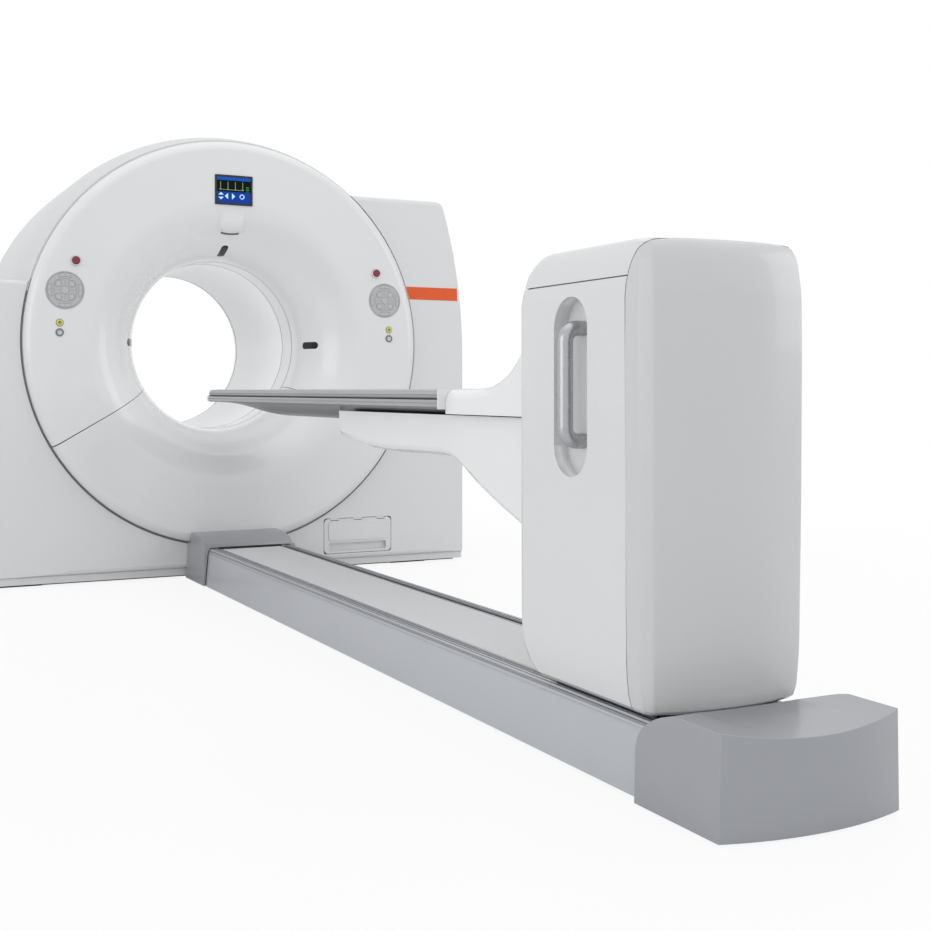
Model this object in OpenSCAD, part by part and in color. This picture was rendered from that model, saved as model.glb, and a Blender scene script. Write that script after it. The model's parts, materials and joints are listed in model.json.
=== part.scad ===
// Large-bore PET-CT scanner: a ring-shaped gantry, a floor rail running out of its
// front, and a travelling pedestal that carries a cantilevered patient table.
// +Z up, bore axis along Y at X = 0, gantry at the +Y end, origin on the floor
// under the middle of the whole machine. All sizes in millimetres.

/* [Gantry] */
// Height of the bore axis above the floor
axis_h = 1040; // [1000:5:1250]
// Inner diameter of the patient bore
bore_d = 780; // [640:10:820]
// Overall width across the two wings
gantry_w = 2350; // [2150:10:2900]
// Depth from the front wing plane to the rear face
gantry_d = 1315; // [1240:5:1700]
// Diameter of the round front and rear covers
disc_d = 1800; // [1700:10:1860]
// Diameter of the drum shell behind the front cover
drum_d = 1914; // [1900:2:1980]
// How far the round covers stand proud of the wings
disc_proud = 45; // [35:1:60]
// Height of the right shoulder
shoulder_right_h = 1742; // [1600:2:1800]
// Height of the left shoulder
shoulder_left_h = 1290; // [1200:5:1500]
// Thickness of the moulded covers
skin = 5; // [4:0.5:7]
// Gap between the floor and the lower edge of the covers
skirt_gap = 43; // [30:1:70]

/* [Funnel and tunnel] */
// Distance from the wing plane to the inner end of the front funnel
funnel_depth = 285; // [270:5:300]
// Radial width of the funnel's curve
funnel_flare = 250; // [200:5:280]
// Width of the scan window ring
window_w = 136; // [100:2:140]
// Depth of the rear funnel
rear_funnel_depth = 148; // [120:2:200]

/* [Rail and table] */
// Distance from the wing plane to the outer end of the rail
rail_reach = 3740; // [3600:10:4500]
// Width of the floor rail
rail_w = 370; // [340:2:400]
// Height of the floor rail
rail_h = 160; // [146:2:176]
// Width of the end caps and of the pedestal at its widest
cap_w = 436; // [420:2:520]
// Height of the end caps
cap_h = 200; // [190:1:240]
// Width of the pedestal
ped_w = 420; // [400:2:500]
// Depth of the pedestal
ped_d = 556; // [540:4:680]
// Height of the pedestal
ped_top = 1140; // [1090:2:1320]
// Length of the pallet
pallet_len = 2490; // [2200:10:2500]
// Width of the pallet's blunt tip
tip_w = 242; // [200:2:280]
// Width of the pallet
pallet_w = 430; // [380:2:460]
// Height of the mattress top in the parked position
table_h = 833; // [800:1:860]
// Thickness of the mattress
mat_t = 28; // [18:1:34]
// Length of the arm in front of the pedestal
arm_reach = 1174; // [900:2:1300]
// Width of the arm
arm_w = 350; // [320:2:380]
// Width of the control display
display_w = 172; // [140:2:220]
// Height of the control display
display_h = 132; // [100:2:150]
// Diameter of the keypads on the front cover
pad_d = 160; // [130:2:180]
// Diameter of the emergency stop buttons
estop_d = 33; // [26:1:40]

/* [Hidden] */
$fn = 180;
seat = 0.3;                    // gap between pieces that seat on each other

bore_r = bore_d / 2;
disc_r = disc_d / 2;
drum_r = drum_d / 2;
half_w = gantry_w / 2;
wing_y = (rail_reach - gantry_d) / 2;   // front plane of the wings

// stations along the bore, measured from the wing plane
ring_y = funnel_depth;
liner_y = ring_y + window_w;
rear_seam = gantry_d - rear_funnel_depth;
rim_r = disc_proud;                     // round of the disc's rim
rear_wing = gantry_d - disc_proud;      // rear plane of the wings
disc_gap = 5;                           // shadow gap round the disc
seam_deg = 30;                          // front cover seam below horizontal
seam_half = 0.14;

// ---------------------------------------------------------------- helpers
function arc(cx, cy, r, a0, a1, n) =
    [for (i = [0:n]) let (a = a0 + (a1 - a0) * i / n) [cx + r * cos(a), cy + r * sin(a)]];
function ell(cx, cy, a, b, t0, t1, n) =
    [for (i = [0:n]) let (t = t0 + (t1 - t0) * i / n) [cx + a * cos(t), cy + b * sin(t)]];
function rrect(x0, x1, y0, y1, r, n = 6) = concat(
    arc(x1 - r, y1 - r, r, 0, 90, n), arc(x0 + r, y1 - r, r, 90, 180, n),
    arc(x0 + r, y0 + r, r, 180, 270, n), arc(x1 - r, y0 + r, r, 270, 360, n));

// extrudes an XZ outline along Y from y0 to y1
module along_y(y0, y1) translate([0, y1, 0]) rotate([90, 0, 0]) linear_extrude(y1 - y0) children();
// extrudes a YZ outline along X from x0 to x1
module along_x(x0, x1) translate([x0, 0, 0]) rotate([90, 0, 90]) linear_extrude(x1 - x0) children();
module tube_y(r_out, r_in, y0, y1) on_axis() translate([0, 0, y0]) difference() {
    cylinder(r = r_out, h = y1 - y0);
    translate([0, 0, -1]) cylinder(r = r_in, h = y1 - y0 + 2);
}
module box(x0, x1, y0, y1, z0, z1) translate([x0, y0, z0]) cube([x1 - x0, y1 - y0, z1 - z0]);
module mirror_x() { children(); mirror([1, 0, 0]) children(); }
// places what is drawn in the wing-plane frame (y = 0 on the front wing plane)
module placed() translate([0, wing_y, 0]) children();
// the same for solids of revolution: local z runs into the machine, local x to the right
module on_axis() translate([0, wing_y, axis_h]) rotate([-90, 0, 0]) children();
// turns a radius/depth outline about the bore axis from world angle a0 to a1
module turned(pts, a0 = 0, a1 = 360)
    on_axis() rotate_extrude(angle = a1 - a0, start = -a1) polygon(pts);
// a box in bore coordinates: turned by angle a about the axis, radial r0 to r1
module radial_box(a, r0, r1, y0, y1, half)
    translate([0, wing_y, axis_h]) rotate([0, -a, 0]) translate([r0, y0, -half])
        cube([r1 - r0, y1 - y0, 2 * half]);
// a straight-sided skin between rings of points; every ring has the same count
module loft(rings) {
    n = len(rings[0]);
    m = len(rings);
    polyhedron(
        points = [for (r = rings) each r],
        faces = concat(
            [[for (i = [0:n - 1]) i]],
            [[for (i = [n - 1:-1:0]) (m - 1) * n + i]],
            [for (k = [0:m - 2]) for (i = [0:n - 1]) let (j = (i + 1) % n)
                each [[k * n + i, (k + 1) * n + i, (k + 1) * n + j],
                      [k * n + i, (k + 1) * n + j, k * n + j]]]));
}

white = [0.93, 0.93, 0.94];
grey = [0.66, 0.68, 0.71];
dark = [0.16, 0.17, 0.18];
steel = [0.45, 0.47, 0.5];
silver = [0.75, 0.76, 0.78];
orange = [0.88, 0.38, 0.1];

// ---------------------------------------------------------------- gantry outlines
flare_c = bore_r + funnel_flare;            // centre of the trumpet's curve
flare_b = funnel_depth + disc_proud;        // its axial half-axis
function flare_y(r) = funnel_depth - flare_b * sqrt(1 - pow((flare_c - r) / funnel_flare, 2));
function flare_slope(r) = -flare_b * (flare_c - r) / pow(funnel_flare, 2)
    / sqrt(1 - pow((flare_c - r) / funnel_flare, 2));
// visible skin of the front cover, i deep into the material, from the bore to the rim
function front_line(i) = concat(
    ell(flare_c, funnel_depth, funnel_flare - i, flare_b - i, 180, 270, 20),
    arc(disc_r - rim_r, 0, rim_r - i, -90, 0, 7), [[disc_r - i, 34]]);
function reversed(v) = [for (i = [len(v) - 1:-1:0]) v[i]];
front_shell = concat(front_line(0), reversed(front_line(skin)));

rear_flare = 120;
function rear_line(i) = concat(
    ell(bore_r + rear_flare, rear_seam, rear_flare - i, rear_funnel_depth - i, 180, 90, 12),
    arc(disc_r - rim_r, gantry_d - rim_r, rim_r - i, 90, 0, 7),
    [[disc_r - i, gantry_d - rim_r - 34]]);

// drum shell: bulges from the front rim, runs straight, draws in to the rear
drum_front_r = disc_r + skin + 1;
drum_rear_r = disc_r + skin + 1;
drum_y1 = 300;
drum_y2 = gantry_d - 415;
function bulge_r(len, rise) = (len * len + rise * rise) / (2 * rise);
fr_r = bulge_r(drum_y1, drum_r - drum_front_r);
rr_r = bulge_r(rear_wing - drum_y2, drum_r - drum_rear_r);
function drum_line(i) = concat(
    arc(drum_r - fr_r, drum_y1, fr_r - i, -asin((drum_y1 - 2) / fr_r), 0, 8),
    arc(drum_r - rr_r, drum_y2, rr_r - i, 0, asin((rear_wing - drum_y2 - 2) / rr_r), 8));
drum_tuck = 2;                              // degrees the drum shell reaches into the wings
drum_a0 = asin((shoulder_right_h - axis_h) / drum_r) - drum_tuck;
drum_a1 = 180 - asin((shoulder_left_h - axis_h) / drum_r) + drum_tuck;

// wing outline seen from the front, drawn for the right-hand side, i inside the surface
side_r = 2450;                              // sweep of the wing's side above the axis
side_z = 1000;
function wing(h, i) = concat(
    [[0, skirt_gap + i], [half_w - i, skirt_gap + i]],
    arc(half_w - side_r, side_z, side_r - i, 0, asin((h - i - side_z - 24) / (side_r - i)), 7),
    [let (a = asin((h - i - side_z) / side_r)) [half_w - side_r + side_r * cos(a) - i - 7, h - i - 7],
     let (a = asin((h - i - side_z) / side_r)) [half_w - side_r + side_r * cos(a) - i - 28, h - i],
     [0, h - i]]);
wing_round = [[0, 20], [3, 9], [9, 3], [20, 0]];   // rounded edge: depth, inset
panel_d = 60;                               // depth of the front and rear wing covers
hole_r = disc_r + disc_gap + 4;             // hole in the wing covers round the disc

module wing_block(h, i, flip) {
    mirror([flip, 0, 0]) hull() for (e = wing_round)
        placed() along_y(e[0] + i, panel_d + (i > 0 ? 5 : 0)) polygon(wing(h, e[1] + i));
}
// the lower corner of each wing falls back slightly beyond a crease
module crease_cut(px, pz, nx, nz, i) placed()
    translate([px, i, pz]) rotate([0, atan2(-nz, nx), 0]) rotate([0, 0, 3])
        translate([0, -120, -900]) cube([900, 120, 1800]);
module wing_crease(flip, i) {
    if (flip == 1) crease_cut(-half_w + 488, skirt_gap, -0.798, -0.602, i);
    else crease_cut(half_w - 189, skirt_gap + 18, 0.931, -0.365, i);
}
// a front or rear wing cover: hollow, open to the inside, with a lip round the disc
module wing_cover(h, flip) {
    x0 = flip == 1 ? -half_w : 0;
    x1 = flip == 1 ? 0 : half_w;
    difference() {
        union() {
            difference() {
                wing_block(h, 0, flip);
                wing_crease(flip, 0);
                difference() {
                    wing_block(h, skin, flip);
                    wing_crease(flip, skin);
                }
            }
            intersection() {
                tube_y(hole_r + skin, hole_r, 1, 34);
                placed() box(x0, x1, 0, 40, skirt_gap + skin, h - 2);
            }
        }
        on_axis() translate([0, 0, -50]) cylinder(r = hole_r, h = panel_d + 60);
        placed() box(flip == 1 ? -seat / 2 : -5, flip == 1 ? 5 : seat / 2, -50, 100, 0, 2000);
        drum_clear();
    }
}
module drum_clear() intersection() {
    turned(concat([[0, 2]], drum_line(-seat), [[0, rear_wing]]));
    union() {
        box(0, half_w, 0, rail_reach, tuck_z(drum_a0), 3 * axis_h);
        box(-half_w, 0, 0, rail_reach, tuck_z(180 - drum_a1), 3 * axis_h);
    }
}
function tuck_z(a) = axis_h + drum_front_r * sin(a) - 1;

// ---------------------------------------------------------------- gantry covers
display_z = axis_h + 679;
pad_x = 733;
pad_z = axis_h + 210;
estop_x = 689;
estop_z = axis_h + 337;
lamp_x = 755;
lamp_z = axis_h + 73;
ring_z = axis_h + 32;
lamp_r = 16;
ring_r = 17;
window_half = 16;                           // laser windows: half width and depth range
window_y0 = 77;
window_y1 = 175;
mic_r = axis_h - 523;                       // radius at which the intercom sits
face_y = -disc_proud;

module window_cuts(g) for (a = [0, 90, 180])
    radial_box(a, bore_r - 5, bore_r + 110, window_y0 - g, window_y1 + g, window_half + g);
module on_intercom() translate([0, wing_y + flare_y(mic_r), axis_h + mic_r])
    rotate([90 - atan(-flare_slope(mic_r)), 0, 0]) children();
module slot_outline(w, h) {
    square([w - h, h], center = true);
    for (s = [-1, 1]) translate([s * (w - h) / 2, 0]) circle(d = h);
}

module front_cover_upper() color(white) difference() {
    turned(front_shell, -seam_deg + seam_half, 180 + seam_deg - seam_half);
    placed() {
        box(-display_w / 2 - seat, display_w / 2 + seat, face_y - 9, face_y + 30,
            display_z - display_h / 2 - seat, display_z + display_h / 2 + seat);
        mirror_x() {
            along_y_hole(pad_x, pad_z, pad_d / 2 + seat);
            along_y_hole(estop_x, estop_z, estop_d / 2 + 6.8);
            along_y_hole(lamp_x, lamp_z, lamp_r + seat);
            along_y_hole(lamp_x, ring_z, ring_r + seat);
        }
    }
    window_cuts(seat);
    on_intercom() translate([0, 0, -12]) linear_extrude(24) slot_outline(104, 25);
}
module along_y_hole(x, z, r) translate([x, face_y - 9, z]) rotate([-90, 0, 0]) cylinder(r = r, h = 30);
module front_cover_lower() color(white) {
    turned(front_shell, 180 + seam_deg + seam_half, 360 - seam_deg - seam_half);
    // lips that reach behind the upper cover's face
    for (s = [[180 + seam_deg - 1, 180 + seam_deg + 1, 1.3], [360 - seam_deg - 1, 360 - seam_deg + 1, 0]]) {
        lip_plate(s[0], s[1], face_y + skin + seat);
        lip_plate(s[0] + s[2], s[0] + s[2] + 0.7, face_y + skin - 1);
    }
}
module lip_plate(a0, a1, y) turned([[flare_c, y], [disc_r - rim_r - 3, y],
    [disc_r - rim_r - 3, face_y + skin + 3.5], [flare_c, face_y + skin + 3.5]], a0, a1);
// a bore-lining tube with chamfered ends, so that each seam shows as a fine groove
module liner_tube(y0, y1) turned([
    [bore_r, y0 + 2], [bore_r + 1.5, y0 + seat], [bore_r + skin, y0 + seat],
    [bore_r + skin, y1 - seat], [bore_r + 1.5, y1 - seat], [bore_r, y1 - 2]]);
module bore_ring() color(white) {
    liner_tube(ring_y, liner_y);
    turned([[bore_r + skin, ring_y + 20], [bore_r + skin + 9, ring_y + 20],
        [bore_r + skin + 9, ring_y + 24], [bore_r + skin, ring_y + 24]]);
    turned([[bore_r + skin, liner_y - 24], [bore_r + skin + 9, liner_y - 24],
        [bore_r + skin + 9, liner_y - 20], [bore_r + skin, liner_y - 20]]);
}
module tunnel_liner() color(white) {
    liner_tube(liner_y, rear_seam);
    for (k = [1:3]) let (y = liner_y + k * (rear_seam - liner_y) / 4)
        turned([[bore_r + skin, y - 3], [bore_r + skin + 8, y - 3],
            [bore_r + skin + 8, y + 3], [bore_r + skin, y + 3]]);
}
module rear_cover() color(white)
    turned(concat(rear_line(0), reversed(rear_line(skin))));
module drum_cover() color(white) {
    turned(concat(drum_line(0), reversed(drum_line(skin))), drum_a0, drum_a1);
    for (y = [drum_y1, drum_y2])
        turned([[drum_r - skin - 22, y - 3], [drum_r - skin, y - 3],
            [drum_r - skin, y + 3], [drum_r - skin - 22, y + 3]], drum_a0 + 1, drum_a1 - 1);
}

// access hatch in the right front wing
hatch_x0 = 445;
hatch_x1 = 787;
hatch_z0 = 68;
hatch_z1 = 233;
hatch_gap = 2.5;
hatch_r = 12;
hatch_axis_y = 4;
hatch_axis_z = hatch_z1 - hatch_gap - 4;
hinge_x = [500, 616, 732];
module front_panel_right() color(white) difference() {
    union() {
        wing_cover(shoulder_right_h, 0);
        placed() along_y(skin - 0.5, 14) polygon(rrect(hatch_x0 - 5, hatch_x1 + 5, hatch_z0 - 5,
            hatch_z1 + 5, hatch_r + 5));
    }
    placed() along_y(-30, 40) polygon(rrect(hatch_x0, hatch_x1, hatch_z0, hatch_z1, hatch_r));
    on_axis() translate([0, 0, -50]) cylinder(r = hole_r, h = panel_d + 60);
}
module front_panel_left() color(white) wing_cover(shoulder_left_h, 1);
module side_cover(h, flip) placed() mirror([flip, 0, 0]) difference() {
    along_y(panel_d + seat, gantry_d - rim_r - panel_d - seat) difference() {
        polygon(wing(h, 0));
        translate([0, -skin * 2]) polygon(wing(h + skin, skin));
        translate([-1, 0]) square([half_w - 60, side_z]);
    }
    translate([0, -wing_y, 0])
        turned(concat([[0, 2]], drum_line(-seat), [[0, rear_wing]]), 0, 360);
    // cable and air grille low on the side
    for (k = [0:11]) translate([0, 820 + k * 22, 0])
        along_x(half_w - 30, half_w + 10) polygon(rrect(-5, 5, 180, 330, 4.9, 3));
}
module side_cover_right() color(white) side_cover(shoulder_right_h, 0);
module side_cover_left() color(white) side_cover(shoulder_left_h, 1);
module rear_panels() color(white) for (f = [0, 1])
    translate([0, wing_y * 2 + rear_wing, 0]) mirror([0, 1, 0])
        rear_wing_cover(f == 0 ? shoulder_right_h : shoulder_left_h, f);
module rear_wing_cover(h, flip) difference() {
    wing_block(h, 0, flip);
    wing_block(h, skin, flip);
    on_axis() translate([0, 0, -50]) cylinder(r = hole_r, h = panel_d + 60);
    placed() box(flip == 1 ? -seat / 2 : -5, flip == 1 ? 5 : seat / 2, -50, 100, 0, 2000);
    translate([0, wing_y * 2 + rear_wing, 0]) mirror([0, 1, 0]) drum_clear();
}

module access_hatch() color(white) placed() difference() {
    union() {
        along_y(0, 8) polygon(rrect(hatch_x0 + hatch_gap, hatch_x1 - hatch_gap,
            hatch_z0 + hatch_gap, hatch_z1 - hatch_gap, hatch_r + 8));
        // raised centre panel with drafted edges
        along_y(-4, 1) polygon(rrect(hatch_x0 + 24, hatch_x1 - 24, hatch_z0 + 62, hatch_z1 - 18, 12));
        // back of the finger groove
        along_y(7, 22) polygon(rrect(hatch_x0 + 20, hatch_x1 - 20, hatch_z0 + 6, hatch_z0 + 56, 10));
    }
    // finger groove
    along_y(-1, 18) polygon(rrect(hatch_x0 + 26, hatch_x1 - 26, hatch_z0 + 12, hatch_z0 + 50, 8));
    for (x = hinge_x) {
        box(x - 20.5, x + 20.5, -6, 12, hatch_axis_z - 5, hatch_z1 + 2);
        translate([x - 29, hatch_axis_y, hatch_axis_z]) rotate([0, 90, 0]) cylinder(r = 1.8, h = 58);
    }
}
module hatch_hinge() color(dark) placed() for (x = hinge_x) {
    translate([x - 20, hatch_axis_y, hatch_axis_z]) rotate([0, 90, 0]) cylinder(r = 4, h = 40);
    translate([x - 28, hatch_axis_y, hatch_axis_z]) rotate([0, 90, 0]) cylinder(r = 1.5, h = 56);
    box(x - 20, x + 20, 1.5, 7, hatch_axis_z, hatch_z1);
}

// ---------------------------------------------------------------- controls
module display_bezel() color(silver) placed() difference() {
    along_y(face_y - 4, face_y + 24) polygon(rrect(-display_w / 2, display_w / 2,
        display_z - display_h / 2, display_z + display_h / 2, 3, 3));
    along_y(face_y - 6, face_y + 2) polygon(rrect(-display_w / 2 + 8, display_w / 2 - 8,
        display_z - display_h / 2 + 8, display_z + display_h / 2 - 8, 2, 3));
}
module display_screen() color([0.1, 0.25, 0.6]) placed()
    along_y(face_y - 2, face_y + 2) polygon(rrect(-display_w / 2 + 8 + seat, display_w / 2 - 8 - seat,
        display_z - display_h / 2 + 8 + seat, display_z + display_h / 2 - 8 - seat, 2, 3));
// a flat membrane keypad: one foil with slightly raised fields
module keypad() {
    rotate([-90, 0, 0]) {
        translate([0, 0, -2]) cylinder(r = pad_d / 2, h = 9);
        translate([0, 0, -3]) cylinder(r = pad_d * 0.1, h = 3);
        for (k = [0:3]) rotate(45 + 90 * k) translate([pad_d * 0.25, 0, -3])
            cylinder(r = pad_d * 0.085, h = 3);
        for (k = [0:3]) translate([0, 0, -3]) rotate_extrude(angle = 50, start = 65 + 90 * k)
            translate([pad_d * 0.36, 0]) square([pad_d * 0.09, 3]);
    }
}
module control_pads() color([0.82, 0.83, 0.84]) placed() mirror_x()
    translate([pad_x, face_y, pad_z]) keypad();
module warning_lamps() color([0.9, 0.8, 0.1]) placed() mirror_x()
    translate([lamp_x, face_y, lamp_z]) rotate([-90, 0, 0]) {
        translate([0, 0, -3]) cylinder(r1 = lamp_r - 3, r2 = lamp_r, h = 3);
        cylinder(r = lamp_r, h = 8);
    }
module status_rings() color(grey) placed() mirror_x()
    translate([lamp_x, face_y, ring_z]) rotate([-90, 0, 0]) difference() {
        translate([0, 0, -3]) cylinder(r = ring_r, h = 11);
        translate([0, 0, -4]) cylinder(r = ring_r * 0.55, h = 3);
    }
module estop_collars() color(grey) placed() mirror_x()
    translate([estop_x, face_y, estop_z]) rotate([-90, 0, 0]) {
        difference() {
            translate([0, 0, -7]) cylinder(r = estop_d / 2 + 6.5, h = 14);
            translate([0, 0, -8]) cylinder(r = estop_d / 2 + 1, h = 9);
            translate([0, 0, -8]) cylinder(r = 6.4, h = 20);
        }
    }
module estop(s) placed() translate([s * estop_x, face_y, estop_z]) rotate([-90, 0, 0]) {
    rotate_extrude() polygon(concat([[0, -15]], arc(estop_d / 2 - 3, -12, 3, -90, 0, 4),
        [[estop_d / 2, -5.5], [0, -5.5]]));
    translate([0, 0, -6]) cylinder(r = 6, h = 20);
}
module estop_left() color([0.75, 0.08, 0.12]) estop(-1);
module estop_right() color([0.75, 0.08, 0.12]) estop(1);
module laser_windows() color(dark) difference() {
    intersection() {
        turned(concat(front_line(1), reversed(front_line(skin + 2))));
        window_cuts(0);
    }
}
module intercom() color(dark) on_intercom() difference() {
    translate([0, 0, -7]) linear_extrude(6) slot_outline(103.4, 24.4);
    for (k = [-4:4]) translate([k * 9, 0, -3]) linear_extrude(5) square([3, 14], center = true);
}
module trim_band() color(orange) placed() difference() {
    along_y(-1.2, 0) polygon([[700, axis_h + 224], [half_w - 36, axis_h + 224],
        [half_w - 38, axis_h + 284], [700, axis_h + 284]]);
    translate([0, -wing_y, 0]) on_axis() translate([0, 0, -9]) cylinder(r = hole_r + 2, h = 20);
}

// ---------------------------------------------------------------- inside the gantry
stand_y = 540;                              // CT stand plate
stand_t = 60;
hub_r = 520;
race_w = 55;
base_x = 900;                               // anchor spacing, half
anchor_y0 = 150;
anchor_y1 = gantry_d - 215;
beam_top = 120;
module gantry_base_frame() color(steel) placed() {
    mirror_x() {
        box(640, 760, 90, gantry_d - 135, 20, beam_top);
        for (y = [anchor_y0, anchor_y1]) difference() {
            box(base_x - 90, base_x + 90, y - 90, y + 90, 0, 22);
            translate([base_x, y, -1]) cylinder(r = 9, h = 30);
        }
        for (y = [anchor_y0, anchor_y1]) box(base_x - 200, base_x - 40, y - 40, y + 40, 22, 80);
        for (y = [anchor_y0, anchor_y1]) box(base_x + 60, half_w - 40 - 4 - seat, y - 30, y + 30, 22, 60);
        // cover tabs towards the wing covers
        box(340, 400, skin + seat, 112, 75, 83);
        box(340, 400, gantry_d - 255, rear_wing - skin - seat, 75, 83);
    }
    for (y = [anchor_y0, stand_y + 30, anchor_y1]) box(-650, 650, y - 40, y + 40, 30, beam_top);
}
module plinth() color(dark) placed() difference() {
    box(-half_w + 40, half_w - 40, 40, rear_wing - 40, 5, skirt_gap - seat);
    box(-half_w + 44, half_w - 44, 44, rear_wing - 44, 0, skirt_gap + 20);
}
// a welded ring stand: round head on a tapered foot, with lightening holes
module stand(y, t, r_head, r_hole) translate([0, 0, 0]) placed() along_y(y, y + t) difference() {
    union() {
        translate([0, axis_h]) circle(r = r_head);
        polygon([[-790, beam_top], [790, beam_top], [700, 560], [-700, 560]]);
        polygon([[-700, 560], [700, 560], [r_head * 0.98, axis_h], [-r_head * 0.98, axis_h]]);
    }
    translate([0, axis_h]) circle(r = r_hole);
    for (a = [30, 90, 150, 210, 330]) translate([0, axis_h]) rotate(a)
        translate([(r_head + r_hole) / 2, 0]) circle(r = (r_head - r_hole) * 0.27);
    for (s = [-1, 1]) translate([s * 420, 280]) circle(r = 80);
}
head_r = 800;
module ct_stand() color(steel) {
    stand(stand_y, stand_t, head_r, hub_r + race_w + seat);
    // outriggers that carry the round front cover, outside the rotor's sweep
    for (a = [20, 90, 160, 216, 324]) {
        radial_box(a, head_r - 20, 872, stand_y + 5, stand_y + 35, 30);
        radial_box(a, 852, 872, 20, stand_y + 35, 25);
        radial_box(a, 868, disc_r - skin - seat - 0.6, 20, 30, 25);
    }
}
module main_bearing() color(silver) difference() {
    tube_y(hub_r + race_w, hub_r + 0.4, stand_y - 18, stand_y + stand_t);
    on_axis() translate([0, 0, stand_y - 20]) for (k = [0:11]) rotate(30 * k)
        translate([hub_r + race_w - 16, 0, 0]) cylinder(r = 7, h = 30);
}
module drive_stator() color([0.3, 0.32, 0.36]) difference() {
    tube_y(690, 622, stand_y - 40, stand_y - 0);
    for (k = [0:17]) radial_box(20 * k, 600, 640, stand_y - 50, stand_y - 12, 14);
}
module pet_stand() color(steel)
    stand(gantry_d - 555, 40, 720, 470);
module pet_detector_ring() color([0.5, 0.56, 0.5]) {
    y0 = gantry_d - 515;
    tube_y(600, 432, y0, y0 + 12);
    tube_y(470, 432, y0, y0 + 216);
    for (k = [0:11]) radial_box(30 * k, 460, 590, y0 + 6, y0 + 210, 88);
}
// rotor: everything here turns about the bore axis
plate_y = 440;
rotor_r = 835;
module rotor_drum() color([0.55, 0.57, 0.6]) difference() {
    union() {
        turned([[455, plate_y], [rotor_r, plate_y], [rotor_r, plate_y + 45], [rotor_r - 14, plate_y + 45],
            [rotor_r - 14, plate_y + 20], [hub_r, plate_y + 20], [hub_r, stand_y + stand_t + 10],
            [hub_r - 40, stand_y + stand_t + 10], [hub_r - 40, plate_y + 20], [455, plate_y + 20]]);
        turned([[617, plate_y + 15], [617, stand_y - 6], [602, stand_y - 6], [602, plate_y + 15]]);
    }
    on_axis() translate([0, 0, plate_y - 1]) for (k = [0:5]) rotate(60 * k + 12)
        translate([735, 0, 0]) cylinder(r = 52, h = 22);
}
module xray_tube() color(silver) {
    on_axis() rotate(-90) {
        translate([700, 0, 190]) cylinder(r = 98, h = plate_y - 190);
        translate([700, 0, 150]) cylinder(r = 52, h = 50);
        translate([700, 0, 205]) rotate_extrude() translate([98, 0]) circle(r = 6);
    }
    radial_box(90, 500, 640, 300, plate_y, 70);
    radial_box(90, 452, 505, 325, 385, 110);
}
module hv_generator() color([0.35, 0.37, 0.4]) difference() {
    radial_box(205, 560, 740, 210, plate_y, 150);
    for (k = [0:7]) radial_box(205, 700, 745, 225 + k * 26, 235 + k * 26, 140);
}
module cooling_unit() color([0.6, 0.62, 0.64]) {
    radial_box(335, 560, 730, 230, plate_y, 140);
    for (k = [0:9]) radial_box(335, 729, 752, 240 + k * 20, 246 + k * 20, 130);
    translate([0, 0, 0]) on_axis() rotate(-335) translate([645, 0, 205]) cylinder(r = 60, h = 26);
}
module detector_arc() color([0.28, 0.36, 0.55]) {
    turned([[600, 275], [720, 275], [720, plate_y], [600, plate_y]], 243, 297);
    for (k = [0:10]) radial_box(247 + 4.6 * k, 715, 760, 290, plate_y - 20, 9);
}
module counterweights() color([0.4, 0.4, 0.42]) for (a = [[28, 58], [122, 152]])
    turned([[725, 385], [825, 385], [825, plate_y], [725, plate_y]], a[0], a[1]);
module slip_ring() color([0.72, 0.5, 0.25]) difference() {
    tube_y(560, hub_r - 40, stand_y + stand_t + 10, stand_y + stand_t + 40);
    for (k = [0:2]) tube_y(561, 555, stand_y + stand_t + 14 + 8 * k, stand_y + stand_t + 18 + 8 * k);
}
module brush_block() color(dark) {
    radial_box(60, 560.6, 690, stand_y + stand_t + 12, stand_y + stand_t + 44, 60);
    radial_box(60, 600, 690, stand_y + stand_t, stand_y + stand_t + 20, 60);
}

// ---------------------------------------------------------------- floor rail
far_cap = -285;                             // near edge of the far end cap
near_cap = -rail_reach + 300;               // far edge of the near end cap
cap_bow = 34;                               // bulge of the near cap's end face
cap_half = cap_w / 2;
far_half = rail_w / 2 + 9;
rail_half = rail_w / 2;
band_half = 138;                            // cover band between the two slots
slot_w = 20;
guide_x = 110;
guide_top = 44;
spine_half = 62;

module rail_base() color(steel) placed() difference() {
    union() {
        box(-152, 152, -rail_reach + 130, -40, 0, 12);
        box(-spine_half, -spine_half + 6, -rail_reach + 150, -60, 12, rail_h - 10);
        box(spine_half - 6, spine_half, -rail_reach + 150, -60, 12, rail_h - 10);
        box(-spine_half, spine_half, -rail_reach + 150, -60, rail_h - 16, rail_h - 10);
        mirror_x() box(152, rail_half - 3.3, -rail_reach + 330, far_cap - 40, 0, 8);
    }
    mirror_x() for (y = [-rail_reach + 190, -130])
        translate([rail_anchor_x, y, -1]) cylinder(r = 7, h = 20);
    for (k = [0:7]) translate([0, far_cap - 200 - k * 380, -1]) {
        linear_extrude(20) polygon(rrect(-40, 40, -120, 120, 20));
    }
}
rail_anchor_x = 135;
module guide_rails() color(silver) placed() {
    mirror_x() translate([guide_x, 0, 12]) rotate([90, 0, 0]) translate([0, 0, 60])
        linear_extrude(rail_reach - 210) polygon([[-12, 0], [12, 0], [12, 10], [8, 14], [8, 20],
            [12, 24], [12, guide_top - 12], [-12, guide_top - 12], [-12, 24], [-8, 20], [-8, 14], [-12, 10]]);
    // toothed rack beside the right-hand guide
    translate([0, -rail_reach + 150, 0]) {
        box(guide_x - 44, guide_x - 32, 0, rail_reach - 210, 12, 24);
    }
}
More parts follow.
